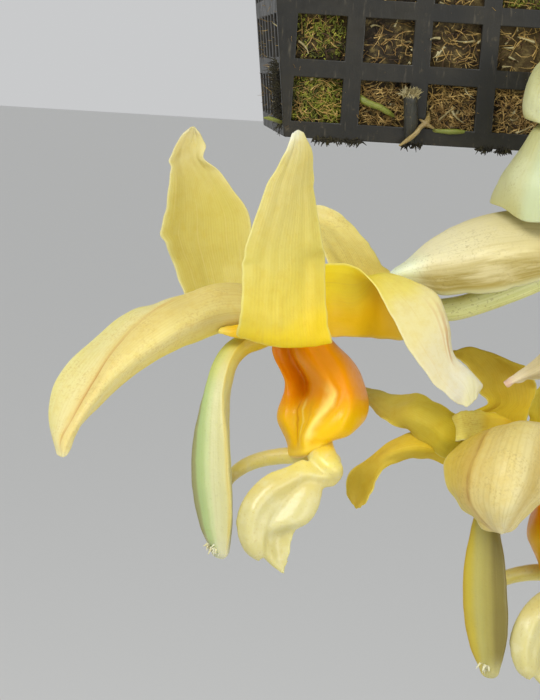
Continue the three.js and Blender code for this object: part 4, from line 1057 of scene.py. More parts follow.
def bract_finish(name, body, stain="8d7638", stain_share=0.6, stain_side=(0.3, 0.95), rib=None, dark_tip=None,
                 speckle_share=0.3):
    """A papery bract: long streaks, fine speckle, and olive-brown stains toward one margin."""
    look = Finish(name)
    drift = look.noise(look.place, 80, 4, 0.6)
    along = look.plus(look.along, look.times(look.minus(drift, 0.5), 0.2))
    colour = look.ramp(along, *body)
    threads = look.streaks(2.0, 40, 4, 0.65, 0.1)
    colour = look.cover(colour, threads, 0.5, 0.75, 0.35, "b39b5a")
    blur = look.streaks(3.5, 9, 4, 0.6, 0.2)
    stained = look.both(
        look.step(blur, 0.3, 0.52, 0.3, 1.0), look.step(look.across, *stain_side, 0.05, 1.0),
        look.step(threads, 0.3, 0.55, 0.7, 1.0), look.step(along, 0.92, 0.7), stain_share)
    colour = look.mix(stained, colour, stain)
    grains = look.noise(look.place, 1500, 2, 0.5)
    spotted = look.both(look.step(grains, 0.54, 0.66), look.step(drift, 0.4, 0.7), speckle_share)
    colour = look.mix(spotted, colour, "8a7038")
    if rib:
        near = look.apart(look.across, rib[0])
        colour = look.mix(look.step(near, 0.1, 0.02, 0.0, 0.8), colour, rib[1])
    rim = look.rim()
    colour = look.cover(colour, rim, 0.86, 1.0, 0.45, "e6e8c4")
    if dark_tip:
        colour = look.mix(look.step(look.along, 0.9, 1.0), colour, dark_tip)
    relief = look.plus(look.times(threads, 0.8), look.times(grains, 0.2))
    return look.finish(colour, 0.5, relief, 0.14, 0.3)


def basket_finish():
    """Scuffed black moulded plastic with patches of dust."""
    look = Finish("scuffed_black_plastic")
    cloud = look.noise(look.place, 45, 4, 0.6)
    scratch = look.noise(look.stretch(look.place, (900, 900, 60), (0.2, 0.3, 0.4)), 1.0, 4, 0.6)
    colour = look.mix(look.step(cloud, 0.4, 0.72, 0.0, 0.7), "15140f", "2c281d")
    colour = look.cover(colour, scratch, 0.58, 0.74, 0.5, "5a5344")
    dust = look.noise(look.place, 260, 5, 0.7)
    colour = look.cover(colour, dust, 0.6, 0.8, 0.5, "6b6048")
    relief = look.plus(look.times(scratch, 0.4), look.times(dust, 0.6))
    return look.finish(colour, look.step(dust, 0.3, 0.7, 0.34, 0.62), relief, 0.12)


def wire_finish():
    """Drawn galvanised wire, a little dulled."""
    look = Finish("galvanised_wire")
    cloud = look.noise(look.place, 160, 4, 0.6)
    colour = look.mix(look.step(cloud, 0.35, 0.7), "8f9090", "c4c5c3")
    rust = look.noise(look.place, 60, 5, 0.7)
    colour = look.cover(colour, rust, 0.64, 0.8, 0.4, "6d5b47")
    dull = look.step(cloud, 0.3, 0.7, 0.32, 0.5)
    made = look.finish(colour, dull, look.noise(look.place, 900, 3), 0.05)
    made.node_tree.nodes["Principled BSDF"].inputs["Metallic"].default_value = 0.9
    return made


def moss_finish(name, dark, middle, bright, rough=0.85, glow=0.0):
    look = Finish(name)
    cloud = look.noise(look.place, 55, 4, 0.6)
    fine = look.noise(look.place, 420, 4, 0.65)
    colour = look.mix(look.step(cloud, 0.35, 0.68), dark, middle)
    colour = look.cover(colour, fine, 0.45, 0.72, 0.8, bright)
    return look.finish(colour, rough, fine, 0.5, glow, 1.0)


def bulb_finish():
    look = Finish("ribbed_green_pseudobulb")
    cloud = look.noise(look.place, 60, 4, 0.6)
    threads = look.streaks(3, 60, 4, 0.6)
    colour = look.ramp(look.along, (0.0, "8a7b4a"), (0.2, "6d7d38"), (0.7, "557032"), (1.0, "6d7a3c"))
    colour = look.cover(colour, cloud, 0.45, 0.7, 0.6, "8d9048")
    colour = look.cover(colour, threads, 0.55, 0.72, 0.4, "a99c5c")
    return look.finish(colour, 0.42, threads, 0.2, 0.15)


def leaf_finish():
    """A pleated leaf: a lighter rib along each pleat, fine streaks along it and a paler, slightly worn
    margin.
    """
    look = Finish("pleated_green_leaf")
    cloud = look.noise(look.place, 26, 4, 0.55)
    colour = look.mix(look.step(cloud, 0.35, 0.7), "2c4f1d", "44702b")
    ribs = look.sum("ABSOLUTE", look.sum("SINE", look.times(look.across, LEAF_PLEATS * math.pi)))
    colour = look.mix(look.step(ribs, 0.0, 0.16, 0.55, 0.0), colour, "7a9a4c")
    threads = look.streaks(5, 190, 3, 0.6)
    colour = look.cover(colour, threads, 0.48, 0.7, 0.4, "6a8a40")
    rim = look.rim()
    colour = look.cover(colour, rim, 0.97, 1.0, 0.5, "8f8a46")
    colour = look.mix(look.step(look.along, 0.2, 0.02), colour, "7f8a48")
    colour = look.mix(look.step(look.along, 0.965, 1.0), colour, "8a7440")
    spots = look.noise(look.place, 210, 4, 0.7)
    colour = look.cover(colour, spots, 0.66, 0.78, 0.5, "7d7a3a")
    relief = look.plus(look.times(threads, 0.7), look.times(ribs, 0.3))
    return look.finish(colour, look.step(cloud, 0.3, 0.7, 0.36, 0.5), relief, 0.25, 0.12)


DORSAL = petal_finish(
    "cream_dorsal_sepal",
    body=((0.0, "e3b72e"), (0.16, "e3cc73"), (0.45, "e1cb7f"), (0.8, "e6cf92"), (1.0, "e8d4a1")),
    side=((0.0, "d8ce8a"), (0.12, "ded394"), (0.24, "e3d59a"), (0.32, "dcc37b"), (0.5, "e1c87f"),
          (0.68, "e5d28e"), (0.78, "e9d79d"), (0.88, "e5d083"), (1.0, "dec34d")),
    side_share=0.65, lines=30, line="c5a251", streak="cca85c", streak_share=0.25,
    speckle="ba924f", speckle_share=0.35, tip="ecd9a5",
    stripes=((0.335, 0.035, 0.3, 1.0, "ca9d56", 0.8), (0.345, 0.012, 0.4, 0.98, "b68445", 0.6)))
NEAR_PETAL = petal_finish(
    "yellow_near_petal",
    body=((0.0, "f0c000"), (0.1, "f2ca00"), (0.2, "eecc1c"), (0.32, "e2c84c"), (0.5, "d8c462"),
          (0.8, "d4c176"), (1.0, "e0d3aa")),
    lean=0.1, lines=24, line="c5a74a", line_share=0.1, streak="d0af48", streak_share=0.16,
    margin="e7d9a0", tip="ebe2cb", foot=("f2c800", 0.5, 1.0, 0.2, 0.42, 0.5))
NEAR_PETAL_FOLD = petal_finish(
    "orange_petal_fold", body=((0.0, "f0b400"), (0.6, "f0c020"), (1.0, "ecd060")), lines=6, margin="f0cc50")
FAR_PETAL = petal_finish(
    "green_yellow_far_petal",
    body=((0.0, "d8a000"), (0.14, "d6ae31"), (0.34, "d6c160"), (0.6, "cdb957"), (0.85, "d4c38d"),
          (1.0, "dfd1b3")),
    # side: the darker olive band near 0.1, just inside the in-curled left margin, is painted shade.
    side=((0.0, "d2c58f"), (0.1, "bfaa53"), (0.45, "ccba63"), (0.8, "d4c36c"), (1.0, "dcca86")),
    side_share=0.4, lines=34, line="b4963f", line_share=0.22, streak="e2cd8b", streak_share=0.3,
    margin="e6d6af")
NEAR_LATERAL = petal_finish(
    "cream_near_lateral_sepal",
    body=((0.0, "f6d600"), (0.24, "f4d630"), (0.42, "deca69"), (0.52, "dccc93"), (0.68, "d7c9a4"),
          (0.9, "d8ceb9"), (1.0, "e3d7ba")),
    lines=12, line="c19d4c", line_share=0.05, streak="c9a252", streak_share=0.18,
    margin="eadec0", margin_share=0.2, tip="e6dcb4", foot=("f4bf00", 0.3, 0.8, 0.34, 0.56, 0.95),
    stripes=((0.4, 0.035, 0.5, 0.86, "b27340", 0.7), (0.33, 0.02, 0.45, 0.8, "c2915a", 0.45)))
FAR_LATERAL = petal_finish(
    "papery_far_lateral_sepal",
    body=((0.0, "dea617"), (0.2, "dec362"), (0.6, "e2cd7d"), (1.0, "e8d699")),
    lines=30, line="b28f47", line_share=0.22, streak="caa856", speckle="af8942", speckle_share=0.3,
    margin="f1e0ac")
# Painted shade: the second flower's finishes below are darker, more olive copies of the first flower's, for
# the shade that flower stands in.
SHADED_OLIVE_DORSAL = petal_finish(
    "shaded_olive_dorsal_sepal",
    body=((0.0, "c3a01c"), (0.2, "cbac30"), (0.5, "d6bd6c"), (0.8, "deca90"), (1.0, "e8d8b8")),
    # side: the palest band near 0.66 is painted highlight, and the tan band near 0.3 with the stripe there is
    # painted shade where the sepal turns away at its ridge.
    side=((0.0, "cdb434"), (0.16, "c6a838"), (0.3, "bf9948"), (0.36, "d6bd7c"), (0.55, "dcc78c"),
          (0.66, "e2d2a4"), (0.76, "c7aa68"), (0.82, "dac58c"), (1.0, "d6c27c")),
    side_share=0.6, lines=24, line="a48434", line_share=0.16, streak="b3913e", streak_share=0.25,
    speckle="9b7a40", speckle_share=0.35, stripes=((0.3, 0.025, 0.25, 0.95, "9e7634", 0.7),))
MATT_SHADED_OLIVE = {"margin_share": 0.6, "rough": 0.62, "height": 0.16, "gloss": 0.12}
SHADED_OLIVE_PETAL = petal_finish(
    "shaded_olive_yellow_petal",
    body=((0.0, "cca70e"), (0.2, "c9ad28"), (0.6, "c2ad43"), (1.0, "d0be65")),
    lines=26, line="a0882b", line_share=0.14, streak="a88f29", streak_share=0.2, margin="e1d07a",
    **MATT_SHADED_OLIVE)
SHADED_OLIVE_LATERAL = petal_finish(
    "shaded_olive_yellow_lateral_sepal",
    body=((0.0, "ddb00e"), (0.3, "dab831"), (0.6, "d1b343"), (0.85, "bfa235"), (1.0, "ccae46")),
    lines=20, line="a6842a", line_share=0.16, streak="b79533", streak_share=0.2, margin="ecd782",
    **MATT_SHADED_OLIVE)
HOOD_YELLOW = petal_finish(
    "yellow_hood_lining",
    body=((0.0, "ecd870"), (0.4, "eed870"), (0.6, "e6c43c"), (1.0, "d4a61c")),
    lines=14, line="c89c38", margin="f6e8ac", margin_share=0.6, speckle="c98a1c", speckle_share=0.3,
    gloss=0.15)
SAC = sac_finish()
FORELIP = forelip_finish()
COLUMN_FLESH = column_finish(
    "green_white_column",
    ((0.0, "cfae20"), (0.35, "dfc020"), (0.5, "dcc81c"), (0.64, "d2c42c"), (1.0, "c0a420")),
    ((0.0, "bab276"), (0.26, "c8be80"), (0.32, "cfba72"), (0.36, "d4ca94"), (0.45, "d6cfa0"),
     (0.5, "ccd09a"), (0.55, "b9c686"), (0.6, "aebd7e"), (0.63, "9a9664"), (0.7, "847c50"),
     (0.85, "98926a"), (1.0, "b0aa7c")),
    "d8cfb4")
# Painted shade: the second flower's column finish is a darker, more olive copy of the first one's.
SHADED_OLIVE_COLUMN = column_finish(
    "shaded_olive_column",
    ((0.0, "9c862d"), (0.4, "88742d"), (0.52, "ac9c47"), (0.66, "c4a11a"), (1.0, "9c862d")),
    ((0.0, "a49554"), (0.3, "7a6a30"), (0.4, "837336"), (0.47, "a4954d"), (0.55, "b9ab5f"),
     (0.62, "c0a93a"), (0.68, "b49520"), (0.8, "9c8e41"), (1.0, "a49554")),
    "d0c48c")
OVARY = stem_finish("green_white_ovary", "ece8ae", "d8d68e", "d8c668")
STALK_SKIN = stem_finish("speckled_green_stalk", "b8b468", "8c8f3e", "9a8448")
BRACT_FINISHES = [
    bract_finish(
        "tan_bract", ((0.0, "dac68e"), (0.35, "e5d3a1"), (0.7, "eddeb6"), (0.88, "e8e7c7"), (1.0, "e1e9d0")),
        stain="a48c34", stain_share=0.9, stain_side=(0.56, 0.86)),
    bract_finish(
        "rosy_tipped_bract", ((0.0, "cdb474"), (0.5, "d8c694"), (0.85, "dcc6a4"), (1.0, "dcb8a0")),
        dark_tip="d2a890"),
    bract_finish("pale_bract", ((0.0, "c8bb7a"), (0.5, "d8cf96"), (1.0, "dcd6a4"))),
]
SHEATH = bract_finish(
    "pale_green_sheath", ((0.0, "bab26c"), (0.35, "cdc997"), (0.7, "d1cea4"), (1.0, "beb67e")),
    stain="a0954f", stain_share=0.3, stain_side=(0.95, 0.3), rib=(0.52, "c3c9a2"), speckle_share=0.35)
BASKET = basket_finish()
WIRE = wire_finish()
PEAT = moss_finish("brown_medium", "231a0c", "4d3d1c", "8a7745")
TAN_FIBRE = moss_finish("tan_fibre", "7d5f30", "b8964f", "f2d184", 0.75)
BROWN_FIBRE = moss_finish("brown_fibre", "2c1f12", "553d22", "7c6038", 0.8)
MOSS = moss_finish("bright_green_moss", "30320a", "6a6f16", "b6b83e", 0.7, 0.15)
DARK_MOSS = moss_finish("dark_moss", "17150c", "2f2a17", "4c4622", 0.9)
ROOT = stem_finish("yellow_green_root", "8f9040", "6c7426", "6a5a2c")
DRY_ROOT = stem_finish("dry_tan_root", "b49c6c", "8e7444", "6a5230")
PALE_FIBRE = moss_finish("pale_shreds", "8a7c52", "b9ac7a", "dcd3a8", 0.75)
TOP_MOSS = moss_finish("mixed_top_moss", "2c3a14", "5d6f28", "8f8a48", 0.85)
RAGGED = moss_finish("ragged_white_edge", "c9b98e", "e0d8b4", "f0ead2", 0.5, 0.3)
STUB_SKIN = stem_finish("dark_stalk_stub", "3a3832", "292825", "4a463a")
BULB = bulb_finish()
LEAF = leaf_finish()

# Frames

UPRIGHT = Matrix.Identity(4)
SPIKE = (
    Matrix.Translation(SPIKE_PLACE)
    @ Matrix.Rotation(math.radians(SPIKE_TURN), 4, "Z")
    @ Matrix.Rotation(math.radians(SPIKE_LEAN), 4, "X")
    @ Matrix.Rotation(math.radians(SPIKE_SWING), 4, "Y")
)


def flower_matrix(flower):
    turn = Matrix.Rotation(math.radians(flower["turn"]), 4, "Z")
    return SPIKE @ Matrix.Translation(flower["place"]) @ turn


# Basket, hanger, medium


def half_width(height):
    """Half the basket's outer width at a height above its floor."""
    return (BOTTOM_WIDTH + (TOP_WIDTH - BOTTOM_WIDTH) * height / BASKET_HEIGHT) / 2


def make_basket():
    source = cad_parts["basket"].data
    bm = bmesh.new()
    bm.from_mesh(source)
    bmesh.ops.remove_doubles(bm, verts=bm.verts, dist=TOUCHING)
    bmesh.ops.dissolve_limit(bm, angle_limit=0.02, verts=bm.verts, edges=bm.edges)
    piece = piece_of("lattice_basket", bm, BASKET, ["basket"])
    soft = piece.modifiers.new("rounded_edges", "BEVEL")
    soft.width = EDGE_ROUNDING * MM
    soft.segments = 2
    soft.limit_method = "ANGLE"
    soft.angle_limit = math.radians(40)
    soft.harden_normals = False
    piece.data.set_sharp_from_angle(angle=math.radians(50))


def make_hanger():
    hook = [
        [0, 0, SHAFT_BOTTOM + 2, 1.0], [0, 0, SHAFT_TOP - 8, 1.3], [0, 0, SHAFT_TOP - 3, HOOK_WIRE_RADIUS]]
    ring = HOOK_RADIUS + 1.8
    for degrees in range(-80, 201, 20):
        angle = math.radians(degrees)
        hook.append([ring * math.cos(angle), 0, -HOOK_RADIUS + ring * math.sin(angle), HOOK_WIRE_RADIUS])
    bm = new_bm()
    lay(bm, moved(cap_ends(tube(hook, 110, 17, (0, 1, 0))), UPRIGHT))
    for strand in range(4):
        coil = []
        for share in np.arange(41) / 40:
            angle = 2 * math.pi * (strand / 4 + TWIST_TURNS * share)
            reach = TWIST_REACH - 0.45 * ease(share, 0.85, 1)
            height = SHAFT_BOTTOM + 1.2 + TWIST_RISE * share
            coil.append([reach * math.cos(angle), reach * math.sin(angle), height, TWIST_STRAND_RADIUS])
        lay(bm, moved(cap_ends(tube(coil, 150, 11, (0, 0.1, 1))), UPRIGHT))
    weld(bm, bm.verts)
    piece_of("hook_and_twist", bm, WIRE, ["hanger_hook"])
    # Each wire is bent through its corner eye and then rises to the twist
    ear = BASKET_RIM - 4
    bend = [(EYE_OFFSET + 3, ear - 0.9), (EYE_OFFSET + 2.8, ear - 1.6), (EYE_OFFSET + 1.5, ear - 2.9),
            (EYE_OFFSET + 0.2, ear - 1.6), (EYE_OFFSET, BASKET_RIM - 2)]
    rise = [(EYE_OFFSET + (1.5 - EYE_OFFSET) * share, BASKET_RIM + (SHAFT_BOTTOM - 0.8 - BASKET_RIM) * share)
            for share in (0.01, 0.05, 0.15, 0.4, 0.7, 0.95, 1)]
    for number, (sx, sy) in enumerate(((-1, -1), (1, -1), (1, 1), (-1, 1)), 1):
        stations = [[sx * reach, sy * reach, z, HANGING_WIRE_RADIUS] for reach, z in bend + rise]
        bm = new_bm()
        weld(bm, lay(bm, moved(cap_ends(tube(stations, 90, 11, (sx, -sy, 0))), UPRIGHT)))
        piece_of(f"hanging_wire_{number}", bm, WIRE, [f"hanger_wire_{number}"])


def medium_top(x, y):
    """The height of the domed medium at a place."""
    return BASKET_RIM - MEDIUM_BELOW_RIM + MEDIUM_DOME * max(0.0, 1 - math.hypot(x, y) / (TOP_WIDTH / 2))


def make_medium():
    bottom = BASKET_FLOOR + WALL + 0.3
    height = BASKET_RIM - MEDIUM_BELOW_RIM - bottom
    bm = bmesh.new()
    bmesh.ops.create_cube(bm, size=2)
    bmesh.ops.subdivide_edges(bm, edges=bm.edges, cuts=47, use_grid_fill=True)
    for vert in bm.verts:
        x, y, z = vert.co
        level = (z + 1) / 2
        z_here = bottom + level * height
        half = half_width(z_here - BASKET_FLOOR) - WALL - 0.7
        place = Vector((x * half, y * half, z_here))
        rough = noise.noise(place / 9) + 0.6 * noise.noise(place / 3.6) + 0.3 * noise.noise(place / 1.5)
        if max(abs(x), abs(y)) > 0.99:
            half -= max(0.0, 0.9 + 0.9 * rough)
        if level > 0.99:
            z_here = medium_top(x * half, y * half) - 1.0 + 1.2 * rough
        vert.co = Vector((x * half, y * half, z_here)) * MM
    bmesh.ops.recalc_face_normals(bm, faces=bm.faces)
    piece_of("growing_medium_body", bm, PEAT, ["growing_medium"])


def wall_spot(side, across, height, out):
    """A place on one of the four walls: out is how far it stands before the wall's outer face."""
    reach = half_width(height) + out
    turn = side * math.pi / 2
    x, y = across, -reach
    return Vector((x * math.cos(turn) - y * math.sin(turn), x * math.sin(turn) + y * math.cos(turn),
                   BASKET_FLOOR + height))


def make_fibres(name, finish, count, seed, choose, radius, length, bend):
    """Many thin tapering fibres, each a bent line from a place and along a way that choose draws."""
    rng = random.Random(seed)
    lines = bpy.data.curves.new(name, "CURVE")
    lines.dimensions = "3D"
    lines.bevel_depth = MM
    lines.bevel_resolution = 0
    lines.use_fill_caps = True
    for _ in range(count):
        place, way = choose(rng)
        way = way.normalized()
        bow = Vector((rng.gauss(0, 1), rng.gauss(0, 1), rng.gauss(0, 1))) * bend
        reach = rng.uniform(*length) / 4
        thick = rng.uniform(*radius)
        line = lines.splines.new("POLY")
        line.points.add(4)
        for step, point in enumerate(line.points):
            point.co = (*(place * MM), 1)
            point.radius = thick * (1 - 0.2 * step)
            place = place + (way + bow * step / 4).normalized() * reach
    mesh = baked(linked(name, lines))
    bpy.data.curves.remove(lines)
    bm = bmesh.new()
    bm.from_mesh(mesh)
    bpy.data.meshes.remove(mesh)
    return piece_of(name, bm, finish)


def wall_way(side, across, up, out):
    """A direction given along a wall, up it and out of it."""
    turn = side * math.pi / 2
    return Vector((across * math.cos(turn) + out * math.sin(turn),
                   across * math.sin(turn) - out * math.cos(turn), up))


def in_opening(rng, side=None, column=None, row=None, depth=(-0.4, 1.8), out=0.14):
    """A fibre that starts in one of a wall's openings and lies along the medium."""
    side = rng.randrange(4) if side is None else side
    column = rng.randrange(COLUMNS) if column is None else column
    row = rng.randrange(ROWS) if row is None else row
    across = (column - COLUMNS // 2) * COLUMN_PITCH + rng.uniform(-OPENING_HALF_WIDTH, OPENING_HALF_WIDTH)
    height = LOWEST_ROW + row * ROW_PITCH + rng.uniform(-OPENING_HALF_HEIGHT, OPENING_HALF_HEIGHT)
    start = wall_spot(side, across, height, -WALL - rng.uniform(*depth))
    homeward = -across / CORNER_LEAN
    return start, wall_way(side, rng.gauss(0, 1) + homeward, rng.gauss(0, 0.8), rng.gauss(0.0, out))


def in_front_row(rng):
    """A fine fibre in the front wall's lowest openings, which the photograph shows close up."""
    return in_opening(rng, 0, None, 0, (-0.9, 1.2), 0.2)


def mossy(rng):
    """A short moss shoot in the openings where moss grows."""
    side, column, row = rng.choice(MOSSY_OPENINGS)
    start, way = in_opening(rng, side, column, row, (-0.3, 1.6))
    return start, wall_way(side, rng.gauss(0, 0.7), rng.gauss(0.5, 0.5), rng.uniform(0.0, 0.5))


def on_top(rng):
    """A fibre of loose moss on the medium."""
    x, y = rng.uniform(-TOP_REACH, TOP_REACH), rng.uniform(-TOP_REACH, TOP_REACH)
    start = Vector((x, y, medium_top(x, y) - 0.8))
    return start, Vector((rng.gauss(0, 1), rng.gauss(0, 1), rng.uniform(0.0, 0.5)))


def under_edge(rng):
    """A dark shred that hangs from the lower edge of the front wall or sits on its left corner."""
    low, high, y, foot = rng.choice(HANGING_TUFTS)
    start = Vector((
        rng.uniform(low, high), y + rng.uniform(-0.3, 1.2), BASKET_FLOOR + rng.uniform(-0.3, 0.8)))
    return start, Vector((rng.gauss(0, 0.8), rng.gauss(0, 0.3), foot))


def at_corner(rng):
    """Moss that pushes out between the left wall's bars near its lower corner."""
    across = rng.uniform(35, 60)
    start = wall_spot(3, across, rng.uniform(3, 20), rng.uniform(-WALL, -0.2))
    return start, wall_way(3, rng.gauss(0, 0.6), rng.gauss(0.2, 0.6), rng.uniform(0.2, 1.0))


# Roots and shoots at the basket's lower edge: places with their radius at each
ROOTS = {
    "green_root": (ROOT, [
        (-44.5, -61.5, -383.4, 0.8), (-43.2, -62.7, -384.3, 1.0), (-40.4, -63.9, -385.7, 1.05),
        (-37.7, -64.1, -386.4, 0.9), (-35.4, -63.7, -387.6, 0.8), (-33.9, -62.2, -388.6, 0.6)]),
    "upright_root": (ROOT, [
        (-45.2, -61.8, -379.4, 0.7), (-44.8, -62.6, -381.0, 0.9), (-44.3, -62.6, -383.2, 0.9),
        (-43.6, -61.6, -385.2, 0.7)]),
    "dry_root": (DRY_ROOT, [
        (-24.2, -62.0, -387.2, 0.45), (-24.4, -63.6, -388.6, 0.7), (-24.9, -65.0, -389.9, 0.85),
        (-26.3, -65.5, -391.0, 0.7), (-27.6, -65.7, -392.8, 0.75), (-29.4, -65.4, -394.6, 0.65),
        (-31.7, -65.2, -396.4, 0.3)]),
    "dry_rootlet": (DRY_ROOT, [
        (-26.6, -64.6, -389.2, 0.35), (-25.6, -65.2, -389.8, 0.55), (-24.6, -65.2, -390.4, 0.5),
        (-22.8, -64.6, -391.2, 0.3)]),
    "low_shoot": (ROOT, [
        (-24.5, -62.0, -392.0, 0.4), (-22.5, -63.4, -391.9, 0.6), (-19.5, -63.9, -391.9, 0.7),
        (-16.0, -63.9, -391.8, 0.65), (-12.6, -62.6, -391.8, 0.4)]),
    "corner_shoot": (ROOT, [
        (-62.4, -58.0, -392.6, 0.5), (-64.8, -58.6, -392.0, 0.7), (-66.8, -58.4, -391.4, 0.7),
        (-68.6, -57.6, -391.3, 0.25)]),
}


def make_roots():
    for name, (finish, stations) in ROOTS.items():
        make_stem(name, stations, UPRIGHT, finish, (), steps=30, sides=13, hint=(0.3, 0.2, 1),
                  rough=0.25)
    make_stem("cut_stalk_stub", STUB, UPRIGHT, STUB_SKIN, (), steps=30, sides=21, rough=0.25)
    end = Vector(STUB[-1][:3])

    def at_cut(rng):
        angle = rng.uniform(0, 2 * math.pi)
        reach = 2.0 * math.sqrt(rng.random())
        start = end + Vector((reach * math.cos(angle), reach * math.sin(angle) * 0.9, rng.uniform(-0.3, 0.6)))
        return start, Vector((rng.gauss(0, 0.5), rng.gauss(0, 0.5), 1.0))

    make_fibres("cut_stub_fibres", PALE_FIBRE, 520, 12, at_cut, (0.14, 0.26), (1.0, 3.0), 0.7)


def make_bulbs_and_leaves():
    for number in range(4):
        angle = math.radians(LEAF_TURN + 90 * number)
        x, y = BULB_RING * math.cos(angle), BULB_RING * math.sin(angle)
        foot = medium_top(x, y) - BULB_SUNK
        fine = curve([[r * BULB_RADIUS, h * BULB_HEIGHT] for r, h in BULB_PROFILE], 40)
        fine[:, 0] = np.maximum(fine[:, 0], 0)
        turn = np.linspace(0, 2 * math.pi, 73)
        ribs = 1 - 0.045 * np.abs(np.sin(turn * 4.5)) ** 0.6
        swell = ease(fine[:, 1] / BULB_HEIGHT, 0.02, 0.3) * (1 - ease(fine[:, 1] / BULB_HEIGHT, 0.85, 1))
        reach = fine[:, :1] * (1 + (ribs[None, :] - 1) * swell[:, None] * 1.6)
        rings = np.stack([
            x + reach * np.cos(turn)[None, :], y + reach * np.sin(turn)[None, :],
            np.repeat(foot + fine[:, 1:], len(turn), axis=1)], axis=2)
        rings[0] = rings[0].mean(axis=0)
        rings[-1] = rings[-1].mean(axis=0)
        shell(f"ribbed_bulb_{number + 1}", rings, UPRIGHT, BULB, [f"pseudobulb_{number + 1}"])
        make_leaf(number, x, y, angle)


def make_leaf(number, x, y, angle):
    foot = medium_top(x, y) - BULB_SUNK + BULB_HEIGHT + 0.36
    outward = np.array((math.cos(angle), math.sin(angle), 0))
    aside = np.array((-math.sin(angle), math.cos(angle), 0))
    rows = 9
    net = []
    for row in range(rows):
        t = row / (rows - 1)
        part = max(0.0, (t - LEAF_STALK) / LEAF_BLADE)
        reach = 4 * t + LEAF_REACH * part**1.25
        rise = LEAF_STALK_RISE * min(1, t / 0.3) + LEAF_RISE * part - LEAF_DROOP * part**2.2
        fullness = max(0.0, math.sin(math.pi * part**0.8)) ** 0.9 * (1 - 0.12 * part)
        half = 2.2 + LEAF_HALF_WIDTH * fullness
        centre = np.array((x, y, foot + rise)) + outward * reach
        stations = []
        for j in range(LEAF_PLEATS + 1):
            share = 2 * j / LEAF_PLEATS - 1
            pleat = (1 if j % 2 == 0 else -1) * LEAF_PLEAT * min(1, part * 4) * (1 - part**4)
            curl = LEAF_CURL * share * share * math.sin(math.pi * part)
            stations.append(centre + aside * share * half + np.array((0, 0, pleat / 2 + curl)))
        net.append(stations)
    blade(f"pleated_leaf_{number + 1}", net, UPRIGHT, LEAF, [f"leaf_{number + 1}"], across=43,
          thick=0.8, rim=0.45, ripple=0.8, nibble=0.25, crumple=0.5, seed=40 + number)


# Spike


def make_stem(name, stations, matrix, finish, nodes, steps, sides=25, hint=(1, 0, 0), rough=0.12):
    rings = roughened(cap_ends(tube(stations, steps, sides, hint)), rough, 4, 1.6, 0.5, 3)
    shell(name, rings, matrix, finish, nodes)


def column_outline(size):
    """The column's section: a round back, and a flat front between two wings."""
    body, depth, wing = size
    return [
        (0, depth), (-body * 0.8, depth * 0.7), (-body * 1.15, 0), (-wing, -depth * 0.62),
        (-wing * 0.94, -depth * 0.95), (-body * 0.85, -depth * 1.05), (0, -depth * 1.15),
        (body * 0.85, -depth), (wing * 0.96, -depth * 0.82), (wing, -depth * 0.62),
        (body * 1.15, 0), (body * 0.8, depth * 0.7)]


def make_column(number, matrix):
    angle = math.radians(COLUMN_FACING)
    side = (-math.sin(angle), math.cos(angle), 0)
    rings = roughened(cap_ends(tube(COLUMN, 64, 61, side, column_outline)), 0.12, 3, 1.3, 0.6, 11)
    # The second flower's column takes the darker copy, which is painted shade.
    finish = SHADED_OLIVE_COLUMN if number == SHADED_FLOWER else COLUMN_FLESH
    shell(f"column_{number}", rings, matrix, finish, [f"flower_{number}_column"])

    def at_tip(rng):
        x, y, z = COLUMN_TIP
        start = Vector((x + rng.uniform(-2.4, 2.0), y + rng.uniform(-1, 1), z + rng.uniform(-1.5, 1)))
        return matrix @ start, matrix.to_3x3() @ Vector((rng.gauss(-0.4, 0.5), rng.gauss(-0.2, 0.3), -1.0))

    make_fibres(f"ragged_column_tip_{number}", RAGGED, 22, 50 + number, at_tip, (0.3, 0.6), (1.2, 2.4), 0.5)


def from_picture(right, down, depth):
    """The point of the first flower that a photo place shows at a depth, in its own millimetres."""
    scale = (VIEW_DISTANCE + depth) / PIXELS_PER_SLOPE
    return ((right - PICTURE_MIDDLE[0]) * scale + VIEW_AIM[0], depth,
            (PICTURE_MIDDLE[1] - down) * scale + VIEW_AIM[1])


def sac_loops():
    """Closed loops around the sac, one for each of its rows."""
    loops = []
    for number, (height, row) in enumerate(SAC_ROWS):
        rise = SAC_TILT.get(number, 0.0)
        loops.append([])
        for right, depth in row:
            tilted = height - rise * max(0.0, min(1.2, (right - SAC_TILT_FROM) / SAC_TILT_SPAN))
            loops[-1].append(from_picture(right, tilted, depth))
    return loops


def band_loops(rows, sections):
    """Closed loops across a fleshy band, one for each of its rows."""
    loops = []
    for (outer, inner, depth, thick), section in zip(rows, sections):
        loops.append([
            from_picture(outer[0] + (inner[0] - outer[0]) * share, outer[1] + (inner[1] - outer[1]) * share,
                         depth + offset * thick)
            for share, offset in section])
    return loops


def make_sac(number, matrix):
    rings = cap_ends(surface(sac_loops(), 58, 73, closed=True), 0.5)
    shell(f"lip_sac_{number}", rings, matrix, SAC, [f"flower_{number}_lip_sac"])


def make_forelip_mesh():
    """Neck, two horns and tongue grown into one body, in the flower's own frame in millimetres."""
    bm = new_bm()
    for loops in (band_loops(NECK_ROWS, [NECK_SECTION] * len(NECK_ROWS)),
                  band_loops(HORN_ROWS, [HORN_SECTION] * len(HORN_ROWS)),
                  band_loops(TONGUE_ROWS, TONGUE_SECTIONS)):
        lay(bm, cap_ends(surface(loops, 60, 49, closed=True), 0.6))
    lay(bm, cap_ends(tube([[*s[:3], s[3] * FAR_HORN_GROWTH] for s in FAR_HORN], 60, 25, (0, 0, 1))))
    weld(bm, bm.verts)
    draft = linked("forelip_draft", mesh_of("forelip_draft", bm))
    join = draft.modifiers.new("join", "REMESH")
    join.mode = "VOXEL"
    join.voxel_size = VOXEL
    return baked(draft)


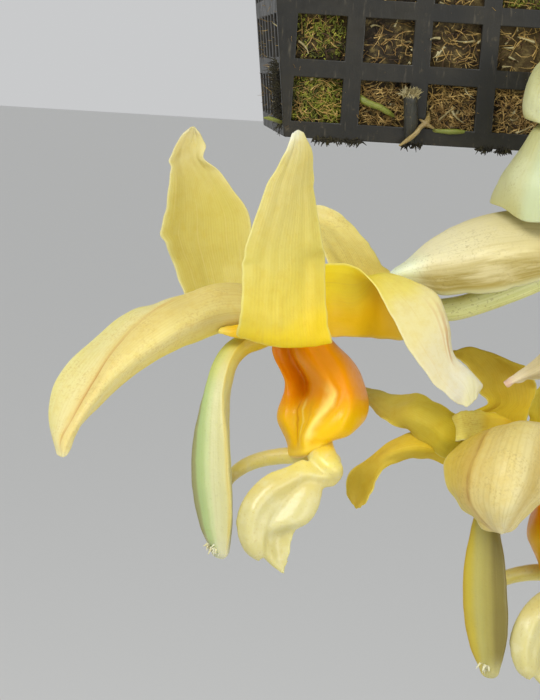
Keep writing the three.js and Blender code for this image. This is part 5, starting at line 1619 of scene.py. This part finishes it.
def make_forelip(number, matrix, whole):
    bm = bmesh.new()
    bm.from_mesh(whole)
    for _ in range(SMOOTHING_PASSES):
        bmesh.ops.smooth_vert(
            bm, verts=bm.verts, factor=0.5, use_axis_x=True, use_axis_y=True, use_axis_z=True)
    layer = bm.verts.layers.float_vector.new("own")
    for vert in bm.verts:
        vert[layer] = vert.co
        vert.co = (matrix @ vert.co) * MM
    piece_of(f"lip_horns_and_tongue_{number}", bm, FORELIP, [f"flower_{number}_lip_forepart"])


def make_ovary(number, flower, matrix):
    """The flower's stalk-like ovary and the heart where its parts meet, as one piece."""
    stations = [[*HEART, OVARY_RADIUS]]
    stations += [[x, y, z + OVARY_LIFT, OVARY_RADIUS] for x, y, z in flower["ovary"]]
    rings = roughened(cap_ends(tube(stations, 60, 25, (0, 0, 1))), 0.2, 5, 1.8, 0.4, 8)
    bm = new_bm()
    weld(bm, lay(bm, moved(rings, matrix), rings))
    turns = np.linspace(0, 2 * math.pi, 33)
    heights = np.linspace(math.pi, 0, 17)
    ball = np.stack([
        HEART[0] + HEART_RADIUS * np.sin(heights)[:, None] * np.cos(turns)[None, :],
        HEART[1] + HEART_RADIUS * np.sin(heights)[:, None] * np.sin(turns)[None, :],
        np.repeat((HEART[2] + HEART_RADIUS * np.cos(heights))[:, None], 33, axis=1)], axis=2)
    weld(bm, lay(bm, moved(ball, matrix), ball))
    round_off(piece_of(f"ovary_{number}", bm, OVARY, [f"flower_{number}_ovary"]))


TEPALS = {
    "dorsalSepal": ("dorsal_sepal", DORSAL, "sepal", "dorsal_sepal"),
    "nearPetal": ("near_petal", NEAR_PETAL, "petal", "petal_near"),
    "farPetal": ("far_petal", FAR_PETAL, "petal", "petal_far"),
    "nearLateral": ("near_lateral_sepal", NEAR_LATERAL, "sepal", "lateral_sepal_near"),
    "farLateral": ("far_lateral_sepal", FAR_LATERAL, "sepal", "lateral_sepal_far"),
    "leftPetal": ("left_petal", SHADED_OLIVE_PETAL, "petal", "petal_near"),
    "leftLateral": ("left_lateral_sepal", SHADED_OLIVE_LATERAL, "sepal", "lateral_sepal_near"),
    "backLateral": ("back_lateral_sepal", SHADED_OLIVE_LATERAL, "sepal", "lateral_sepal_far"),
    "rightPetal": ("right_petal", SHADED_OLIVE_PETAL, "petal", "petal_far"),
}




def make_flower(number, flower, whole):
    matrix = flower_matrix(flower)
    # olive marks the second flower, whose darker finishes are painted shade.
    olive = number == SHADED_FLOWER
    if olive:
        blade(f"hood_inside_{number}", HOOD_INSIDE, matrix, HOOD_YELLOW, (), along=40, across=17,
              ripple=0.4, nibble=0.3, folds=0.4, seed=77)
    else:
        blade(f"petal_fold_{number}", PETAL_FOLD, matrix, NEAR_PETAL_FOLD, (), along=30, across=13,
              seed=70 + number)
    make_ovary(number, flower, matrix)
    make_column(number, matrix)
    make_sac(number, matrix)
    make_forelip(number, matrix, whole)
    for order, (key, net) in enumerate(flower["tepals"].items()):
        name, finish, slot, node = TEPALS[key]
        if olive and key == "dorsalSepal":
            finish = SHADED_OLIVE_DORSAL
        blade(f"{name}_{number}", net, matrix, finish, [f"flower_{number}_{node}"],
              seed=100 * number + order, lobes=LOBES.get(key, ()), ripple=0.6 if olive else 0.3,
              folds=0.5 if olive else 0.25)


make_basket()
make_hanger()
make_medium()
for batch in (1, 2):
    make_fibres(f"tan_fibres_{batch}", TAN_FIBRE, 3600, 4 + batch, in_opening, (0.1, 0.22), (2.5, 8), 1.3)
make_fibres("fine_front_fibres", TAN_FIBRE, 1300, 21, in_front_row, (0.08, 0.17), (2, 5.5), 1.7)
make_fibres("brown_fibres", BROWN_FIBRE, 2600, 16, in_opening, (0.12, 0.26), (2.5, 7), 1.3)
make_fibres("pale_shreds", PALE_FIBRE, 700, 8, in_opening, (0.25, 0.5), (2, 6), 1.2)
make_fibres("green_moss", MOSS, 3900, 9, mossy, (0.14, 0.36), (0.9, 2.8), 2.0)
make_fibres("corner_moss", DARK_MOSS, 700, 10, at_corner, (0.12, 0.28), (1.5, 5), 1.2)
make_fibres("hanging_tufts", DARK_MOSS, 460, 11, under_edge, (0.22, 0.5), (0.7, 2.4), 3.2)
make_fibres("top_moss", TOP_MOSS, 2100, 7, on_top, (0.15, 0.35), (3, 9), 1.0)
make_roots()
make_stem("spike_stem", STALK, SPIKE, STALK_SKIN, ["spike_stalk"], steps=110)
forelip_whole = make_forelip_mesh()
for number, bloom in enumerate(FLOWERS, 1):
    make_flower(number, bloom, forelip_whole)
for number, (net, skin) in enumerate(zip(BRACTS, BRACT_FINISHES), 1):
    blade(f"bract_{number}", net, SPIKE, skin, [f"flower_{number}_bract"],
          thick=0.7, rim=0.3, nibble=0.3, crumple=0.35, seed=19 + number)
for number, net in enumerate(SHEATHS, 1):
    blade(f"sheath_{number}", net, SPIKE, SHEATH, [f"spike_sheath_{number}"], along=40, across=60,
          thick=0.7, rim=0.3, nibble=0.3, crumple=0.3, seed=29 + number)
make_bulbs_and_leaves()

# Camera, light, floor

SENSOR_HEIGHT = 36
FOCAL_LENGTH = 138.46
# Each light's place from the spike's origin in metres along its axes, then size, power and colour
LIGHTS = {
    "key_light": ((-0.45, -1.05, 0.85), 0.8, 13.5, (1.0, 1.0, 0.985)),
    "fill_light": ((0.95, -0.95, -0.15), 1.0, 7, (1.0, 1.0, 0.98)),
}
ROOM_LIGHT = (0.86, 0.87, 0.88, 1)
ROOM_STRENGTH = 0.68
FLOOR_REACH = 20
FLOOR_HEIGHT = -0.8


def light(name, place, target, size, power, colour):
    """A round soft light that stands at a place and faces a target."""
    data = bpy.data.lights.new(name, "AREA")
    data.shape = "DISK"
    data.size = size
    data.energy = power
    data.color = colour
    lamp = linked(name, data)
    lamp.location = place
    lamp.rotation_euler = (target - place).to_track_quat("-Z", "Y").to_euler()


lens = bpy.data.cameras.new("camera")
lens.sensor_fit = "VERTICAL"
lens.sensor_height = SENSOR_HEIGHT
lens.lens = FOCAL_LENGTH
lens.clip_start = 0.01
lens.clip_end = 50
camera = linked("camera", lens)
view_place = Matrix.Translation((VIEW_AIM[0], -VIEW_DISTANCE, VIEW_AIM[1]))
stand = SPIKE @ view_place @ Matrix.Rotation(math.radians(90), 4, "X")
camera.matrix_world = Matrix.Translation(stand.to_translation() * MM) @ stand.to_3x3().to_4x4()
bpy.context.scene.camera = camera

centre = Vector(SPIKE_PLACE) * MM
for name, (offset, size, power, colour) in LIGHTS.items():
    light(name, centre + SPIKE.to_3x3() @ Vector(offset), centre, size, power, colour)

bpy.context.scene.view_settings.view_transform = "Standard"
world = bpy.data.worlds.new("studio")
world.use_nodes = True
world.node_tree.nodes["Background"].inputs["Color"].default_value = ROOM_LIGHT
world.node_tree.nodes["Background"].inputs["Strength"].default_value = ROOM_STRENGTH
bpy.context.scene.world = world

bm = bmesh.new()
bmesh.ops.create_grid(bm, x_segments=4, y_segments=4, size=FLOOR_REACH)
bmesh.ops.translate(bm, verts=bm.verts, vec=(0, 0, FLOOR_HEIGHT))
floor = linked("floor", mesh_of("floor", bm))
floor.data.materials.append(Finish("pale_floor").finish("dcdcda", 0.8))
